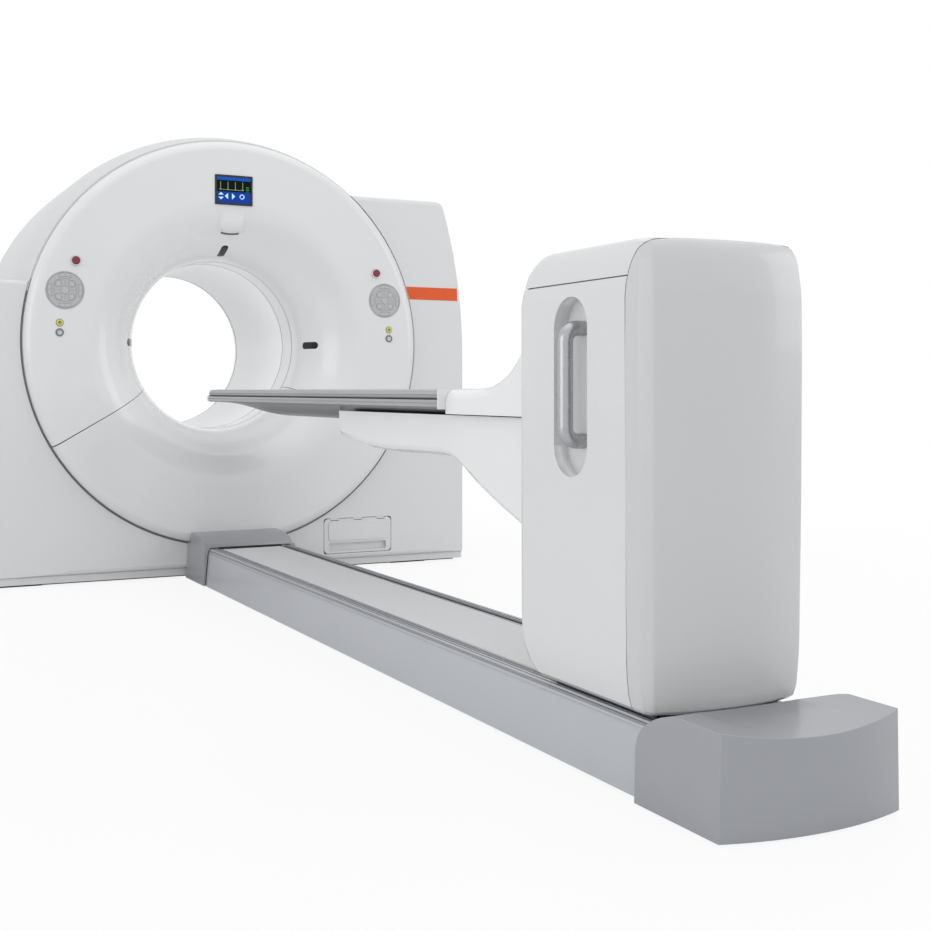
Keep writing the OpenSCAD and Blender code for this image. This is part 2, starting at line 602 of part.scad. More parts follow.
// stepped aluminium edge of the rail
module side_rail() placed() along_y(near_cap + seat, far_cap - seat) polygon([
    [rail_half + 13, 4], [rail_half + 1, rail_h - 20], [rail_half - 3, rail_h - 10], [rail_half - 9, rail_h],
    [band_half + slot_w, rail_h], [band_half + slot_w, rail_h - 7], [rail_half - 20, rail_h - 8],
    [rail_half - 14, rail_h - 24], [rail_half - 4, 60], [rail_half - 3, 8], [rail_half - 3, 4]]);
module side_rail_right() color(grey) side_rail();
module side_rail_left() color(grey) mirror([1, 0, 0]) side_rail();
module cover_band() color([0.8, 0.81, 0.82]) placed() along_y(-rail_reach + 160, -70) polygon(concat(
    [[-band_half, rail_h - 10 + seat], [band_half, rail_h - 10 + seat], [band_half, rail_h - 5]],
    [for (k = [16:-1:-16]) each [[k * 8 + 2.6, rail_h - 5], [k * 8 + 2, rail_h - 3.6],
        [k * 8 - 2, rail_h - 3.6], [k * 8 - 2.6, rail_h - 5]]],
    [[-band_half, rail_h - 5]]));

// far end cap: a straight quarter-round bullnose against the gantry
module far_cap_solid(i) intersection() {
    placed() along_x(-far_half - 20, far_half + 20) polygon(concat(
        [[far_cap - (i > 0 ? 5 : 0), -1], [far_cap - (i > 0 ? 5 : 0), 140 - i]],
        ell(far_cap + 185, 140, 185 - i, cap_h + 6 - 140 - i, 175, 90, 10),
        [[-3, cap_h + 6 - i], [-3, -1]]));
    placed() along_y(far_cap - 20, 20) polygon([[-far_half - 12 + i, -2], [far_half + 12 - i, -2],
        [far_half - i, cap_h + 10], [-far_half + i, cap_h + 10]]);
}
module end_cap_far() color(grey) difference() {
    far_cap_solid(0);
    far_cap_solid(skin);
    placed() box(-500, 500, -400, 100, -5, 4);
    // mouth the cover band runs into, and the gantry's round rim
    placed() box(-band_half - 2, band_half + 2, far_cap - 10, far_cap + 120, 0, rail_h + 3);
    on_axis() translate([0, 0, face_y - seat]) cylinder(r = disc_r + seat, h = 100);
}
// near end cap: saddle top, bowed end face, sides drawn in towards the top
cap_sag = 20;
cap_lip = 112;                              // height at which the near cap's round begins
module near_cap_solid(i) intersection() {
    placed() along_x(-cap_half - 20, cap_half + 20) polygon(concat(
        [[near_cap + (i > 0 ? 5 : 0), -1], [near_cap + (i > 0 ? 5 : 0), cap_lip - i]],
        ell(near_cap - 184, cap_lip, 184 - i, cap_h + 9 - cap_lip - i, 5, 90, 10),
        [[-rail_reach - 50, cap_h + 3 - i], [-rail_reach - 50, -1]]));
    placed() along_y(-rail_reach - 10, near_cap + 10) polygon([[-cap_half - 4 + i, -2],
        [cap_half + 4 - i, -2], [cap_half - 1 - i, cap_h + 10], [-cap_half + 1 + i, cap_h + 10]]);
    translate([0, wing_y - rail_reach + bulge_r(cap_half, cap_bow), -5])
        cylinder(r = bulge_r(cap_half, cap_bow) - i, h = 300, $fn = 360);
}
module near_cap_saddle(i) placed()
    translate([0, near_cap + 20, cap_h + 6 - cap_sag + bulge_r(cap_half, cap_sag)]) rotate([90, 0, 0])
    cylinder(r = bulge_r(cap_half, cap_sag) + i, h = 400, $fn = 720);
module end_cap_near() color([0.56, 0.58, 0.61]) difference() {
    near_cap_solid(0);
    near_cap_saddle(0);
    difference() {
        near_cap_solid(skin);
        near_cap_saddle(skin);
    }
    placed() box(-500, 500, -rail_reach - 100, near_cap + 100, -5, 4);
    placed() box(-band_half - 2, band_half + 2, near_cap - 130, near_cap + 10, 0, rail_h + 3);
}
module rail_drive() color([0.25, 0.27, 0.3]) placed() {
    box(-90, 40, -rail_reach + 50, -rail_reach + 128, 4, 110);
    translate([-60, -rail_reach + 90, 118]) rotate([0, 90, 0]) cylinder(r = 40, h = 120);
    box(-120, 120, -rail_reach + 60, -rail_reach + 130 - seat, 4, 12);
    mirror_x() box(cap_half - 40, cap_half - skin - 3.2, -rail_reach + 70, -rail_reach + 110, 4, 40);
    mirror_x() box(118, cap_half - 38, -rail_reach + 80, -rail_reach + 100, 4, 12);
}

// ---------------------------------------------------------------- travelling pedestal
ped_half = ped_w / 2;
ped_rear = -rail_reach + 240;               // rearmost point of the bowed rear face
ped_front = ped_rear + ped_d;
ped_foot = rail_h + 14;
cap_seam = ped_top - 78;
seam_w = 3;
// stations of the moulded shell: height, then how far side, front and rear fall back
ped_stations = [
    [ped_foot, 24, 74, 26], [ped_foot + 8, 17, 60, 18], [ped_foot + 30, 11, 34, 12],
    [ped_foot + 60, 7, 12, 10], [ped_foot + 100, 5, 2, 7], [ped_foot + 140, 4, 0, 6],
    [ped_top * 0.52, 1, 0, 2], [ped_top * 0.8, 0, 0, 0], [ped_top - 120, 1, 1, 1],
    [ped_top - 98, 2, 6, 2], [cap_seam, 3, 15, 5], [ped_top - 50, 5, 30, 9],
    [ped_top - 28, 8, 54, 15], [ped_top - 10, 13, 88, 25], [ped_top - 3, 19, 118, 34],
    [ped_top, 30, 150, 48]];
rear_bow = 26;
front_r = 32;
back_r = 52;
// plan of the shell, falling back by s at the sides, f at the front and b at the rear
function ped_plan(s, f, b) = let (w = ped_half - s, y0 = ped_rear + b + rear_bow, y1 = ped_front - f,
    rb = back_r - min(s, 20), rf = front_r - min(s, 20)) concat(
    arc(w - rf, y1 - rf, rf, 0, 90, 4), arc(-w + rf, y1 - rf, rf, 90, 180, 4),
    arc(-w + rb, y0 + rb, rb, 180, 250, 4),
    [for (k = [-2:2]) [k * (w - rb) / 3, y0 - rear_bow * (1 - pow(k / 3, 2) * 0.75)]],
    arc(w - rb, y0 + rb, rb, 290, 360, 4));
function ring_at(pts, z) = [for (p = pts) [p[0], p[1], z]];
module ped_block(i, low = 0) placed() loft([for (e = ped_stations)
    ring_at(ped_plan(e[1] + i, e[2] + i, e[3] + i),
        e[0] == ped_foot ? ped_foot - low : e[0] == ped_top ? ped_top - i
            : e[0] - i * (e[0] > cap_seam ? 0.7 : 0))]);
module ped_skin() difference() {
    ped_block(0);
    ped_block(skin, 20);
}
// outline, seen from the side, of what the rear cover takes
rear_edge = ped_rear + 108;
module rear_region(g) placed() along_x(-400, 400) polygon(concat(
    [[rear_edge - g, 100], [rear_edge - g, cap_seam - 40]],
    arc(rear_edge - 150 - g, cap_seam - 40, 150, 10, 58, 5), [[ped_rear - 100, cap_seam + 200],
    [ped_rear - 100, 100]]));
recess_y = ped_front - 238;                 // middle of the grip recess
recess_w = 135;
recess_z0 = ped_top - 500;
recess_z1 = ped_top - 106;
recess_depth = 36;
bar_x = ped_half + 12;
bar_r = 17;
module stadium(w, z0, z1) {
    translate([-w / 2, z0 + w / 2]) square([w, z1 - z0 - w]);
    for (z = [z0 + w / 2, z1 - w / 2]) translate([0, z]) circle(d = w);
}
module recess_prism(x0, x1, g) placed() translate([x0, recess_y, 0]) rotate([90, 0, 90])
    linear_extrude(x1 - x0) stadium(recess_w + 2 * g, recess_z0 - g, recess_z1 + g);
arm_slot = 64;                              // half width of the slot the arm's neck moves in
module pedestal_shell() color(white) difference() {
    union() {
        difference() {
            ped_skin();
            rear_region(-seam_w);
            placed() box(-300, 300, ped_rear - 50, ped_front + 50, cap_seam, ped_top + 50);
            mirror_x() recess_prism(ped_half - 30, ped_half + 30, 0);
        }
        // tubs behind the two grips
        mirror_x() difference() {
            recess_prism(ped_half - recess_depth - 4, ped_half - 4, 4);
            recess_prism(ped_half - recess_depth, ped_half + 10, 0);
        }
    }
    placed() box(-arm_slot, arm_slot, ped_front - 170, ped_front + 20, 100, cap_seam - 60);
}
module pedestal_rear_cover() color(white) intersection() {
    ped_skin();
    rear_region(0);
}
module pedestal_top_cap() color(white) difference() {
    ped_skin();
    rear_region(-seam_w);
    placed() box(-300, 300, ped_rear - 50, ped_front + 50, 0, cap_seam + seam_w);
}
// grab bar: straight grip, quarter-turn elbows, stubs into the tub
module grab_bar() placed() translate([0, recess_y, 0]) {
    z0 = recess_z0 + 78;
    z1 = recess_z1 - 69;
    bend = 30;
    translate([bar_x, 0, z0 + bend]) cylinder(r = bar_r, h = z1 - z0 - 2 * bend);
    for (e = [[z1, 1], [z0, -1]]) translate([bar_x - bend, 0, e[0] - e[1] * bend])
        rotate([90 * e[1], 0, 0]) rotate_extrude(angle = 90) translate([bend, 0]) circle(r = bar_r);
    for (z = [z0, z1]) translate([ped_half - recess_depth, 0, z]) rotate([0, 90, 0])
        cylinder(r = bar_r, h = bar_x - bend - ped_half + recess_depth);
}
module grab_handle_right() color([0.85, 0.86, 0.87]) grab_bar();
module grab_handle_left() color([0.85, 0.86, 0.87]) mirror([1, 0, 0]) grab_bar();

// carriage under the pedestal: bearing blocks, webs through the slots, deck and column
deck_z = rail_h + 4;
column_y0 = ped_rear + 150;
column_y1 = column_y0 + 130;
module carriage_frame() color(steel) placed() {
    mirror_x() {
        box(guide_x - 22, band_half + 15, ped_rear + 90, ped_front - 90, guide_top + 22, guide_top + 30);
        box(band_half + 6, band_half + 15, ped_rear + 90, ped_front - 90, guide_top + 22, deck_z + 10);
    }
    box(-band_half - 15, band_half + 15, ped_rear + 90, ped_front - 90, deck_z, deck_z + 12);
    // foot ring that the moulded covers stand over
    difference() {
        linear_z(ped_foot + 10, ped_foot + 18) polygon(ped_plan(24 + skin + seat, 74 + skin, 26 + skin));
        box(-110, 110, ped_rear + 120, ped_front - 200, ped_foot, ped_foot + 60);
        box(-arm_slot - 20, arm_slot + 20, ped_front - 220, ped_front, ped_foot, ped_foot + 60);
    }
    mirror_x() box(118, 150, ped_rear + 110, ped_front - 140, deck_z + 12, ped_foot + 10);
}
module linear_z(z0, z1) translate([0, 0, z0]) linear_extrude(z1 - z0) children();
block_top = guide_top + 22;
module bearing_blocks() color(silver) placed() mirror_x()
    for (y = [ped_rear + 110, ped_front - 200]) difference() {
        box(guide_x - 30, guide_x + 30, y, y + 90, 18, block_top);
        box(guide_x - 12.6, guide_x + 12.6, y - 1, y + 91, 10, guide_top + 0.6);
    }
module pedestal_column() color(steel) placed() {
    difference() {
        box(-105, 105, column_y0, column_y1, deck_z + 12, cap_seam - 20);
        box(-93, 93, column_y0 + 12, column_y1 - 12, deck_z + 10, cap_seam);
    }
    // vertical guides and the lift's screw tube
    mirror_x() box(66, 90, column_y1, column_y1 + 16, deck_z + 30, cap_seam - 20);
    translate([0, column_y0 + 60, deck_z + 12]) cylinder(r = 42, h = 420);
    // head plate that the shell and the top cap are hung on
    difference() {
        linear_z(cap_seam - 8, cap_seam + 10) polygon(ped_plan(4 + skin + seat, 36 + skin, 7 + skin + seat));
        linear_z(cap_seam, cap_seam + 11) polygon(ped_plan(14 + skin, 50 + skin, 20 + skin));
        box(-arm_slot - 20, arm_slot + 20, column_y1 + 4, ped_front, cap_seam - 20, cap_seam + 20);
    }
    linear_z(cap_seam - 8, cap_seam - 2) intersection() {
        polygon(ped_plan(3 + skin + seat, 25 + skin, 5 + skin + seat));
        translate([-ped_half, ped_rear]) square([2 * ped_half, ped_d * 0.6]);
    }
    box(-105, 105, column_y0, column_y1, cap_seam - 20, cap_seam - 8);
}

// ---------------------------------------------------------------- lifting arm and pallet
deck_h = table_h + max(0, 390 - bore_d / 2);    // a narrower tunnel needs a higher table
pallet_top = deck_h - mat_t - seat;
pallet_y0 = ped_front + 412;                // outer end of the pallet
pallet_y1 = pallet_y0 + pallet_len;
arm_tip = ped_front + arm_reach + 60;
arm_half = arm_w / 2;
arm_top = pallet_top - 41;                  // joint between lower and upper arm covers
arm_end_low = 101;                          // depth of the lower cover near its outer end
arm_floor = arm_top + 10 - arm_end_low + skin;  // inside of the trough at its outer end
arm_gap = 3;                                // running gap in front of the pedestal
// lower arm: stations of depth from the pedestal, height of the lower edge, flare at the root
arm_low = [[0, 300], [29, 281], [79, 262], [144, 240], [214, 213], [284, 184], [336, 158], [384, 137],
    [424, 126], [464, 121], [597, 122], [787, 125], [arm_tip - ped_front - 350, 124],
    [arm_tip - ped_front - 235, 119], [arm_tip - ped_front - 122, 107],
    [arm_tip - ped_front - 70, arm_end_low]];
function arm_ring(y, low, w, i) = let (t = arm_top - (i > 0 ? -2 : 0), b = arm_top + 10 - low + i)
    [[w - i, y, t], [w - i, y, b + 24], [w - 8 - i, y, b + 10], [w - 34 - i, y, b],
     [-w + 34 + i, y, b], [-w + 8 + i, y, b + 10], [-w + i, y, b + 24], [-w + i, y, t]];
module arm_trough(i) placed() loft(concat(
    [for (e = arm_low)
        arm_ring(ped_front + arm_gap + e[0] - (e[0] == 0 && i > 0 ? 5 : 0), e[1], arm_half, i)],
    [arm_ring(arm_tip - 24 - i, 94, arm_half - 3, i), arm_ring(arm_tip - 6 - i, 82, arm_half - 12, i),
     arm_ring(arm_tip - i, 70, arm_half - 24, i)]));
module lower_arm_cover() color(white) difference() {
    arm_trough(0);
    arm_trough(skin);
    placed() box(-arm_slot, arm_slot, ped_front - 20, ped_front + 12, 300, arm_top - 20);
    // the keel lies in the trough, over its end wall
    placed() box(-pallet_w * 0.37, pallet_w * 0.37, pallet_y0 - 4, arm_tip + 20, keel_z - 1, arm_top + 20);
}
// upper cover: flat beside the pallet, sweeping up to the pedestal
up_half = 192;
arm_up = [[0, 118], [8, 105], [19, 91], [40, 72], [62, 56], [84, 43], [110, 30], [138, 19], [170, 10],
    [210, 4], [264, 0.5],
    [pallet_y0 - ped_front - arm_gap - 6, 0]];
function up_ring(y, h, w, i) = let (t = deck_h + h - i, b = arm_top + seam_w - (i > 0 ? 3 : 0))
    [[-w + i, y, b], [-w + i, y, t - 30], [-w + 7 + i, y, t - 13], [-w + 16 + i, y, t - 4],
     [-w + 30 + i, y, t], [w - 30 - i, y, t], [w - 16 - i, y, t - 4], [w - 7 - i, y, t - 13],
     [w - i, y, t - 30], [w - i, y, b]];
module up_block(i) placed() loft([for (k = [0:len(arm_up) - 1]) let (e = arm_up[k],
    y = ped_front + arm_gap + e[0] - (k == 0 && i > 0 ? 5 : 0) - (k == len(arm_up) - 1 ? i : 0))
    up_ring(y, e[1], up_half, i)]);
module upper_arm_cover() color(white) difference() {
    up_block(0);
    up_block(skin);
    placed() box(-arm_slot, arm_slot, ped_front - 20, ped_front + 12, arm_top - 30, deck_h + 90);
}
// steel inside: lift plate on the column's guides, neck and cantilever
neck = arm_slot - 12;
module arm_beam() color(steel) placed() {
    // lift plate with its guide shoes
    mirror_x() difference() {
        box(54, 102, column_y1 + 1, column_y1 + 34, arm_top - 280, arm_top + 60);
        box(65.6, 90.4, column_y1 - 5, column_y1 + 16.4, arm_top - 290, arm_top + 70);
    }
    box(-102, 102, column_y1 + 34, column_y1 + 50, arm_top - 280, arm_top + 60);
    // tapered neck through the pedestal's front slot
    along_x(-neck, neck) polygon([[column_y1 + 48, arm_top - 270], [ped_front - 40, arm_top - 250],
        [ped_front + 120, arm_top - 120], [ped_front + 420, arm_floor + seat],
        [arm_tip - 72, arm_floor + seat], [arm_tip - 72, keel_z - seat],
        [ped_front + 400, keel_z - seat], [ped_front + 330, arm_top - 14],
        [ped_front + 120, arm_top - 14], [ped_front + 30, arm_top + 55],
        [column_y1 + 48, arm_top + 55]]);
    // cross ribs that carry the covers
    for (y = [ped_front + 460, ped_front + 760, arm_tip - 200])
        box(-arm_half + skin + 10, arm_half - skin - 10, y, y + 8, arm_floor + 12, keel_z - 4);
    for (y = [ped_front + 60, ped_front + 200])
        box(-up_half + skin + seat, up_half - skin - seat, y, y + 8, arm_top + 6, arm_top + 38);
    box(-60, 60, ped_front + 190, ped_front + 208, arm_top - 20, arm_top + 20);
}
// pallet: moulded carbon hull with side bands, its tip drawn to a tongue
keel_z = pallet_top - 74;
taper = 0.286;                              // how fast the hull widens behind its tip
tip_r = 45;
function tip_half(y) = let (u = pallet_y1 - y, w = min(pallet_w / 2, tip_w / 2 + taper * u))
    u < tip_r ? w - tip_r + sqrt(tip_r * tip_r - pow(tip_r - u, 2)) : w;
keel_run = 900;                             // length over which the keel rises to the tip
function keel_at(y) = let (u = pallet_y1 - y, d = pallet_top - keel_z - 26,
    v = min(1, max(0, (u - keel_run / 3) / (keel_run * 2 / 3))))
    pallet_top - 16 - 10 * min(1, u * 3 / keel_run) - d * v * v * (3 - 2 * v);
pallet_ys = [for (u = [pallet_len, pallet_len - 20, keel_run, 780, 680, 580, 480,
    (pallet_w - tip_w) / 2 / taper, 250, 160, 90, 45, 30, 18, 9, 3, 0]) pallet_y1 - u];
function hull_ring(y) = let (w = tip_half(y), k = keel_at(y), b = min(24, (pallet_top - k) * 0.6),
    f = w / (pallet_w / 2))
    [[w, y, pallet_top], [w, y, pallet_top - b], [w - 8 * f, y, pallet_top - b - 3 * f],
     [w * 0.74, y, k + (pallet_top - b - k) * 0.7], [w * 0.45, y, k], [-w * 0.45, y, k],
     [-w * 0.74, y, k + (pallet_top - b - k) * 0.7], [-w + 8 * f, y, pallet_top - b - 3 * f],
     [-w, y, pallet_top - b], [-w, y, pallet_top]];
module pallet() color([0.78, 0.79, 0.8]) placed() loft([for (y = pallet_ys) hull_ring(y)]);
mat_inset = 1.5;
module mattress() color([0.4, 0.42, 0.45]) placed() linear_z(pallet_top + seat, deck_h)
    polygon(concat([for (y = pallet_ys) if (y > pallet_y0 + 30) [tip_half(y) - mat_inset, y - 4]],
        [for (k = [len(pallet_ys) - 1:-1:0]) if (pallet_ys[k] > pallet_y0 + 30)
            [-tip_half(pallet_ys[k]) + mat_inset, pallet_ys[k] - 4]],
        [[-pallet_w / 2 + mat_inset, pallet_y0 + 6], [pallet_w / 2 - mat_inset, pallet_y0 + 6]]));

gantry_base_frame();
plinth();
ct_stand();
main_bearing();
drive_stator();
brush_block();
pet_stand();
pet_detector_ring();
front_cover_upper();
front_cover_lower();
bore_ring();
tunnel_liner();
rear_cover();
drum_cover();
front_panel_right();
front_panel_left();
side_cover_right();
side_cover_left();
rear_panels();
display_bezel();
display_screen();
control_pads();
warning_lamps();
status_rings();
estop_collars();
laser_windows();
intercom();
trim_band();
hatch_hinge();
access_hatch();
estop_left();
estop_right();
rotor_drum();
xray_tube();
hv_generator();
detector_arc();
cooling_unit();
counterweights();
slip_ring();
rail_base();
guide_rails();
side_rail_left();
side_rail_right();
cover_band();
end_cap_far();
end_cap_near();
rail_drive();
carriage_frame();
bearing_blocks();
pedestal_column();
pedestal_shell();
pedestal_rear_cover();
pedestal_top_cap();
grab_handle_left();
grab_handle_right();
arm_beam();
lower_arm_cover();
upper_arm_cover();
pallet();
mattress();
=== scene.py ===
# %% [markdown]
# # A whole-body scanner with a travelling patient table
# The steel, the mechanisms and every outline come from the CAD frame, in metres. This notebook
# gives that frame its looks: moulded covers turned and lofted finely, a soft mattress, finishes
# that have the grain and gloss of the real ones, and a small studio to look at them in.

# %% Load the frame
import json
import math

import bmesh
import bpy
from mathutils import Matrix, Vector, noise

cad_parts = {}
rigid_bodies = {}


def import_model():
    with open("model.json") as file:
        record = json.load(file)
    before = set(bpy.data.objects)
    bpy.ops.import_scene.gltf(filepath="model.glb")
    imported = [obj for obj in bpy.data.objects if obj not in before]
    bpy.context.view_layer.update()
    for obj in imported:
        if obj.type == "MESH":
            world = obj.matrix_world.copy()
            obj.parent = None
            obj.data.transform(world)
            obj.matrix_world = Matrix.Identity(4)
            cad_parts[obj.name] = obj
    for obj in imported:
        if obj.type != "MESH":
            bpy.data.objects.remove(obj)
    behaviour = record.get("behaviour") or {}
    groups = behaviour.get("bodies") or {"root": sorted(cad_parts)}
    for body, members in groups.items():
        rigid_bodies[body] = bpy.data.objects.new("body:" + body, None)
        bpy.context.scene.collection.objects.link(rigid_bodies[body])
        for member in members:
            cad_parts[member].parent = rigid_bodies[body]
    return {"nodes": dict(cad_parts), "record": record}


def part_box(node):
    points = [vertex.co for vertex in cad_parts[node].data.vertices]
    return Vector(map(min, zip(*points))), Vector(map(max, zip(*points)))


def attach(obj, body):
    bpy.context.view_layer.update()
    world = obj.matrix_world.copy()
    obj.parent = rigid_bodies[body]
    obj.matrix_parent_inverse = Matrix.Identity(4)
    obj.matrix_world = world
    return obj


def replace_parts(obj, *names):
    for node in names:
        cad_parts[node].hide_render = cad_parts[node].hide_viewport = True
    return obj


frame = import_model()
nodes = frame["nodes"]
body_for = {n: b for b, names in frame["record"]["behaviour"]["bodies"].items() for n in names}
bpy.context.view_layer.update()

# %% [markdown]
# Every place on the machine is measured from four things: the bore's axis, the plane of the
# front wings, the disc's face in front of it, and the pedestal. All four are read from the
# CAD pieces' boxes, so nothing here has to be fitted by hand.

# %% Datum points
bore_low, bore_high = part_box("bore_ring")
AXIS_Z = (bore_low.z + bore_high.z) / 2
WING_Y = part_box("front_panel_left")[0].y
FACE_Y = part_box("front_cover_upper")[0].y
PED_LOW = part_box("pedestal_shell")[0]
WALL = 0.005                # thickness of a moulded cover
SEAT = 0.0003               # gap between pieces that seat on each other
print(f"axis height {AXIS_Z:.4f}, wing plane {WING_Y:.4f}, disc face {FACE_Y:.4f}")

# %% [markdown]
# ## Shader arithmetic
# Painted covers look real because their gloss and tone change a little from place to place.
# Those changes are small sums of noise, so it helps to write them as sums. A Wire wraps a
# node's output socket, and adding or multiplying wires adds the Math nodes.

# %% Wire: a socket that does arithmetic
class Wire:
    def __init__(self, graph, socket):
        self.graph = graph
        self.socket = socket

    def __add__(self, other): return self.graph.math("ADD", self, other)
    def __radd__(self, other): return self.graph.math("ADD", other, self)
    def __sub__(self, other): return self.graph.math("SUBTRACT", self, other)
    def __rsub__(self, other): return self.graph.math("SUBTRACT", other, self)
    def __mul__(self, other): return self.graph.math("MULTIPLY", self, other)
    def __rmul__(self, other): return self.graph.math("MULTIPLY", other, self)
    def __truediv__(self, other): return self.graph.math("DIVIDE", self, other)
    def __rtruediv__(self, other): return self.graph.math("DIVIDE", other, self)
    def __mod__(self, other): return self.graph.math("FLOORED_MODULO", self, other)
    def __rmod__(self, other): return self.graph.math("FLOORED_MODULO", other, self)
    def __pow__(self, other): return self.graph.math("POWER", self, other)
    def __rpow__(self, other): return self.graph.math("POWER", other, self)
    def __lt__(self, other): return self.graph.math("LESS_THAN", self, other)
    def __gt__(self, other): return self.graph.math("GREATER_THAN", self, other)
    def __abs__(self): return self.graph.math("ABSOLUTE", self)
    def within(self, low, high): return (self > low) * (self < high)
    def line_at(self, place, half): return abs(self - place) < half


def length_of(a, b):
    return (a * a + b * b) ** 0.5


# %% [markdown]
# A node tree is easier to read as calls than as a list of sockets. One method makes any node:
# it takes the node's type, the settings that must come first because they change which sockets
# there are, and then the value or the link of each socket by name, or by number as i0, i1.

# %% Graph: a node tree that is written as calls
class Graph:
    def __init__(self, tree):
        self.tree = tree

    def node(self, kind, settings=None, out=0, **inputs):
        made = self.tree.nodes.new(kind)
        for key, value in (settings or {}).items():
            setattr(made, key, value)
        for key, value in inputs.items():
            label = key.replace("_", " ")
            socket = (made.inputs[int(key[1:])] if key[1:].isdigit()
                      else next(s for s in made.inputs if s.name == label and s.enabled))
            for item in value if isinstance(value, list) else [value]:
                if isinstance(item, Wire):
                    self.tree.links.new(item.socket, socket)
                else:
                    socket.default_value = item
        if not made.outputs:
            return None
        if isinstance(out, str):
            return Wire(self, next(s for s in made.outputs if s.name == out and s.enabled))
        return Wire(self, made.outputs[out])

    def math(self, operation, *values):
        inputs = {f"i{i}": value for i, value in enumerate(values)}
        return self.node("ShaderNodeMath", {"operation": operation}, **inputs)

    def axes(self, vector):
        split = self.node("ShaderNodeSeparateXYZ", Vector=vector).socket.node
        return [Wire(self, socket) for socket in split.outputs]


# %% [markdown]
# Every finish is a Principled material with constants on its own sockets, and a few patterns
# linked into colour, gloss and relief. The patterns are laid over the piece's own place in
# space, so a piece needs no unwrapping and its pattern rides with it.

# %% Finish: one material and the nodes behind it
class Finish(Graph):
    def __init__(self, name, **constants):
        self.material = bpy.data.materials.new(name)
        self.material.use_nodes = True
        super().__init__(self.material.node_tree)
        self.shader = self.tree.nodes["Principled BSDF"]
        for label, value in constants.items():
            self.shader.inputs[label.replace("_", " ").title()].default_value = value

    def place(self):
        return self.node("ShaderNodeTexCoord", out="Object")

    def stretched(self, x, y, z):
        return self.node("ShaderNodeMapping", Vector=self.place(), Scale=(x, y, z))

    def noise(self, scale, detail=2.0, rough=0.5, where=None):
        return self.node("ShaderNodeTexNoise", Vector=where or self.place(), Scale=scale,
                         Detail=detail, Roughness=rough)

    def blend(self, factor, a, b):
        return self.node("ShaderNodeMix", {"data_type": "RGBA", "clamp_factor": True},
                         out="Result", Factor=factor, A=a, B=b)

    def feed(self, label, wire):
        self.tree.links.new(wire.socket, self.shader.inputs[label])
        return self

    def colour(self, wire):
        return self.feed("Base Color", wire)

    def rough(self, wire):
        return self.feed("Roughness", wire)

    def bump(self, height, distance, strength=1.0):
        return self.feed("Normal", self.node("ShaderNodeBump", Height=height, Distance=distance,
                                             Strength=strength))


def grey(level, tint=(1.0, 1.0, 1.0)):
    return (level * tint[0], level * tint[1], level * tint[2], 1.0)


# %% [markdown]
# ## Finishes
# The covers are sprayed plastic mouldings. Gloss white has a clear coat with the faint orange
# peel that spraying leaves, and a slow drift in tone. Satin white is the same paint flatted
# down. Each family of covers has its own level, and some levels are painted light and shade:
# the tunnel liner and the arm covers are painted lighter, as painted light, and the pedestal's
# shell and rear cover are painted darker, as painted shade.

# %% White covers
def sprayed(name, level, roughness, coat, tint=(1.0, 1.0, 1.0), peel=0.00006):
    f = Finish(name, roughness=roughness, coat_weight=coat, coat_roughness=0.05)
    drift = f.noise(1.3, 3.0)
    dust = f.noise(160.0, 2.0)
    f.colour(f.blend(drift * 0.7 + dust * 0.25, grey(level * 0.965, tint),
                     grey(min(0.97, level * 1.03), tint)))
    f.rough(drift * 0.07 + dust * 0.04 + (roughness - 0.05))
    return f.bump(f.noise(420.0, 1.0), peel, 0.6).material


GLOSS_WHITE = sprayed("gloss_white_cover", 0.735, 0.22, 0.7)
SATIN_WHITE = sprayed("satin_white_cover", 0.70, 0.36, 0.18)
DRUM_WHITE = sprayed("satin_white_drum", 0.64, 0.38, 0.15)
# The pedestal's whites are darker, a painted shade; the arms' and the liner's are lighter, a
# painted light.
PEDESTAL_GLOSS_PAINTED_SHADE = sprayed("gloss_white_pedestal", 0.69, 0.16, 0.8, (0.995, 1.0, 1.005))
ARM_WHITE_PAINTED_LIGHT = sprayed("gloss_white_arm", 0.81, 0.24, 0.5)
PEDESTAL_SATIN_PAINTED_SHADE = sprayed("satin_white_pedestal", 0.60, 0.32, 0.3)
LINER_WHITE_PAINTED_LIGHT = sprayed("white_tunnel_liner", 0.92, 0.3, 0.3)
RAIL_WHITE = sprayed("pallet_side_band", 0.35, 0.3, 0.4)
print("a sprayed finish has", len(GLOSS_WHITE.node_tree.nodes), "nodes")

# %% [markdown]
# The rail and its caps are coated in a silver lacquer, whose flakes show as a fine speckle in
# tone and gloss. Bare metal is brushed: the same noise, but stretched along the grain, so that
# the streaks run as the belt or the die ran.

# %% Silver lacquer and metals
def lacquer(name, level, roughness, tint=(0.965, 0.99, 1.05)):
    f = Finish(name, roughness=roughness, metallic=0.35, coat_weight=0.35, coat_roughness=0.12)
    flake = f.noise(900.0, 1.0)
    drift = f.noise(2.2, 3.0)
    f.colour(f.blend(flake * 0.55 + drift * 0.45, grey(level * 0.86, tint),
                     grey(level * 1.14, tint)))
    f.rough(flake * 0.16 + drift * 0.06 + (roughness - 0.1))
    return f.bump(flake, 0.00003, 0.5).material


def brushed(name, level, roughness, stretch, tint=(1.0, 1.0, 1.0), metallic=1.0):
    f = Finish(name, roughness=roughness, metallic=metallic)
    streak = f.noise(60.0, 3.0, where=f.stretched(*stretch))
    f.colour(f.blend(streak, grey(level * 0.82, tint), grey(level * 1.15, tint)))
    f.rough(streak * 0.2 + (roughness - 0.08))
    return f.bump(streak, 0.00002, 0.5).material


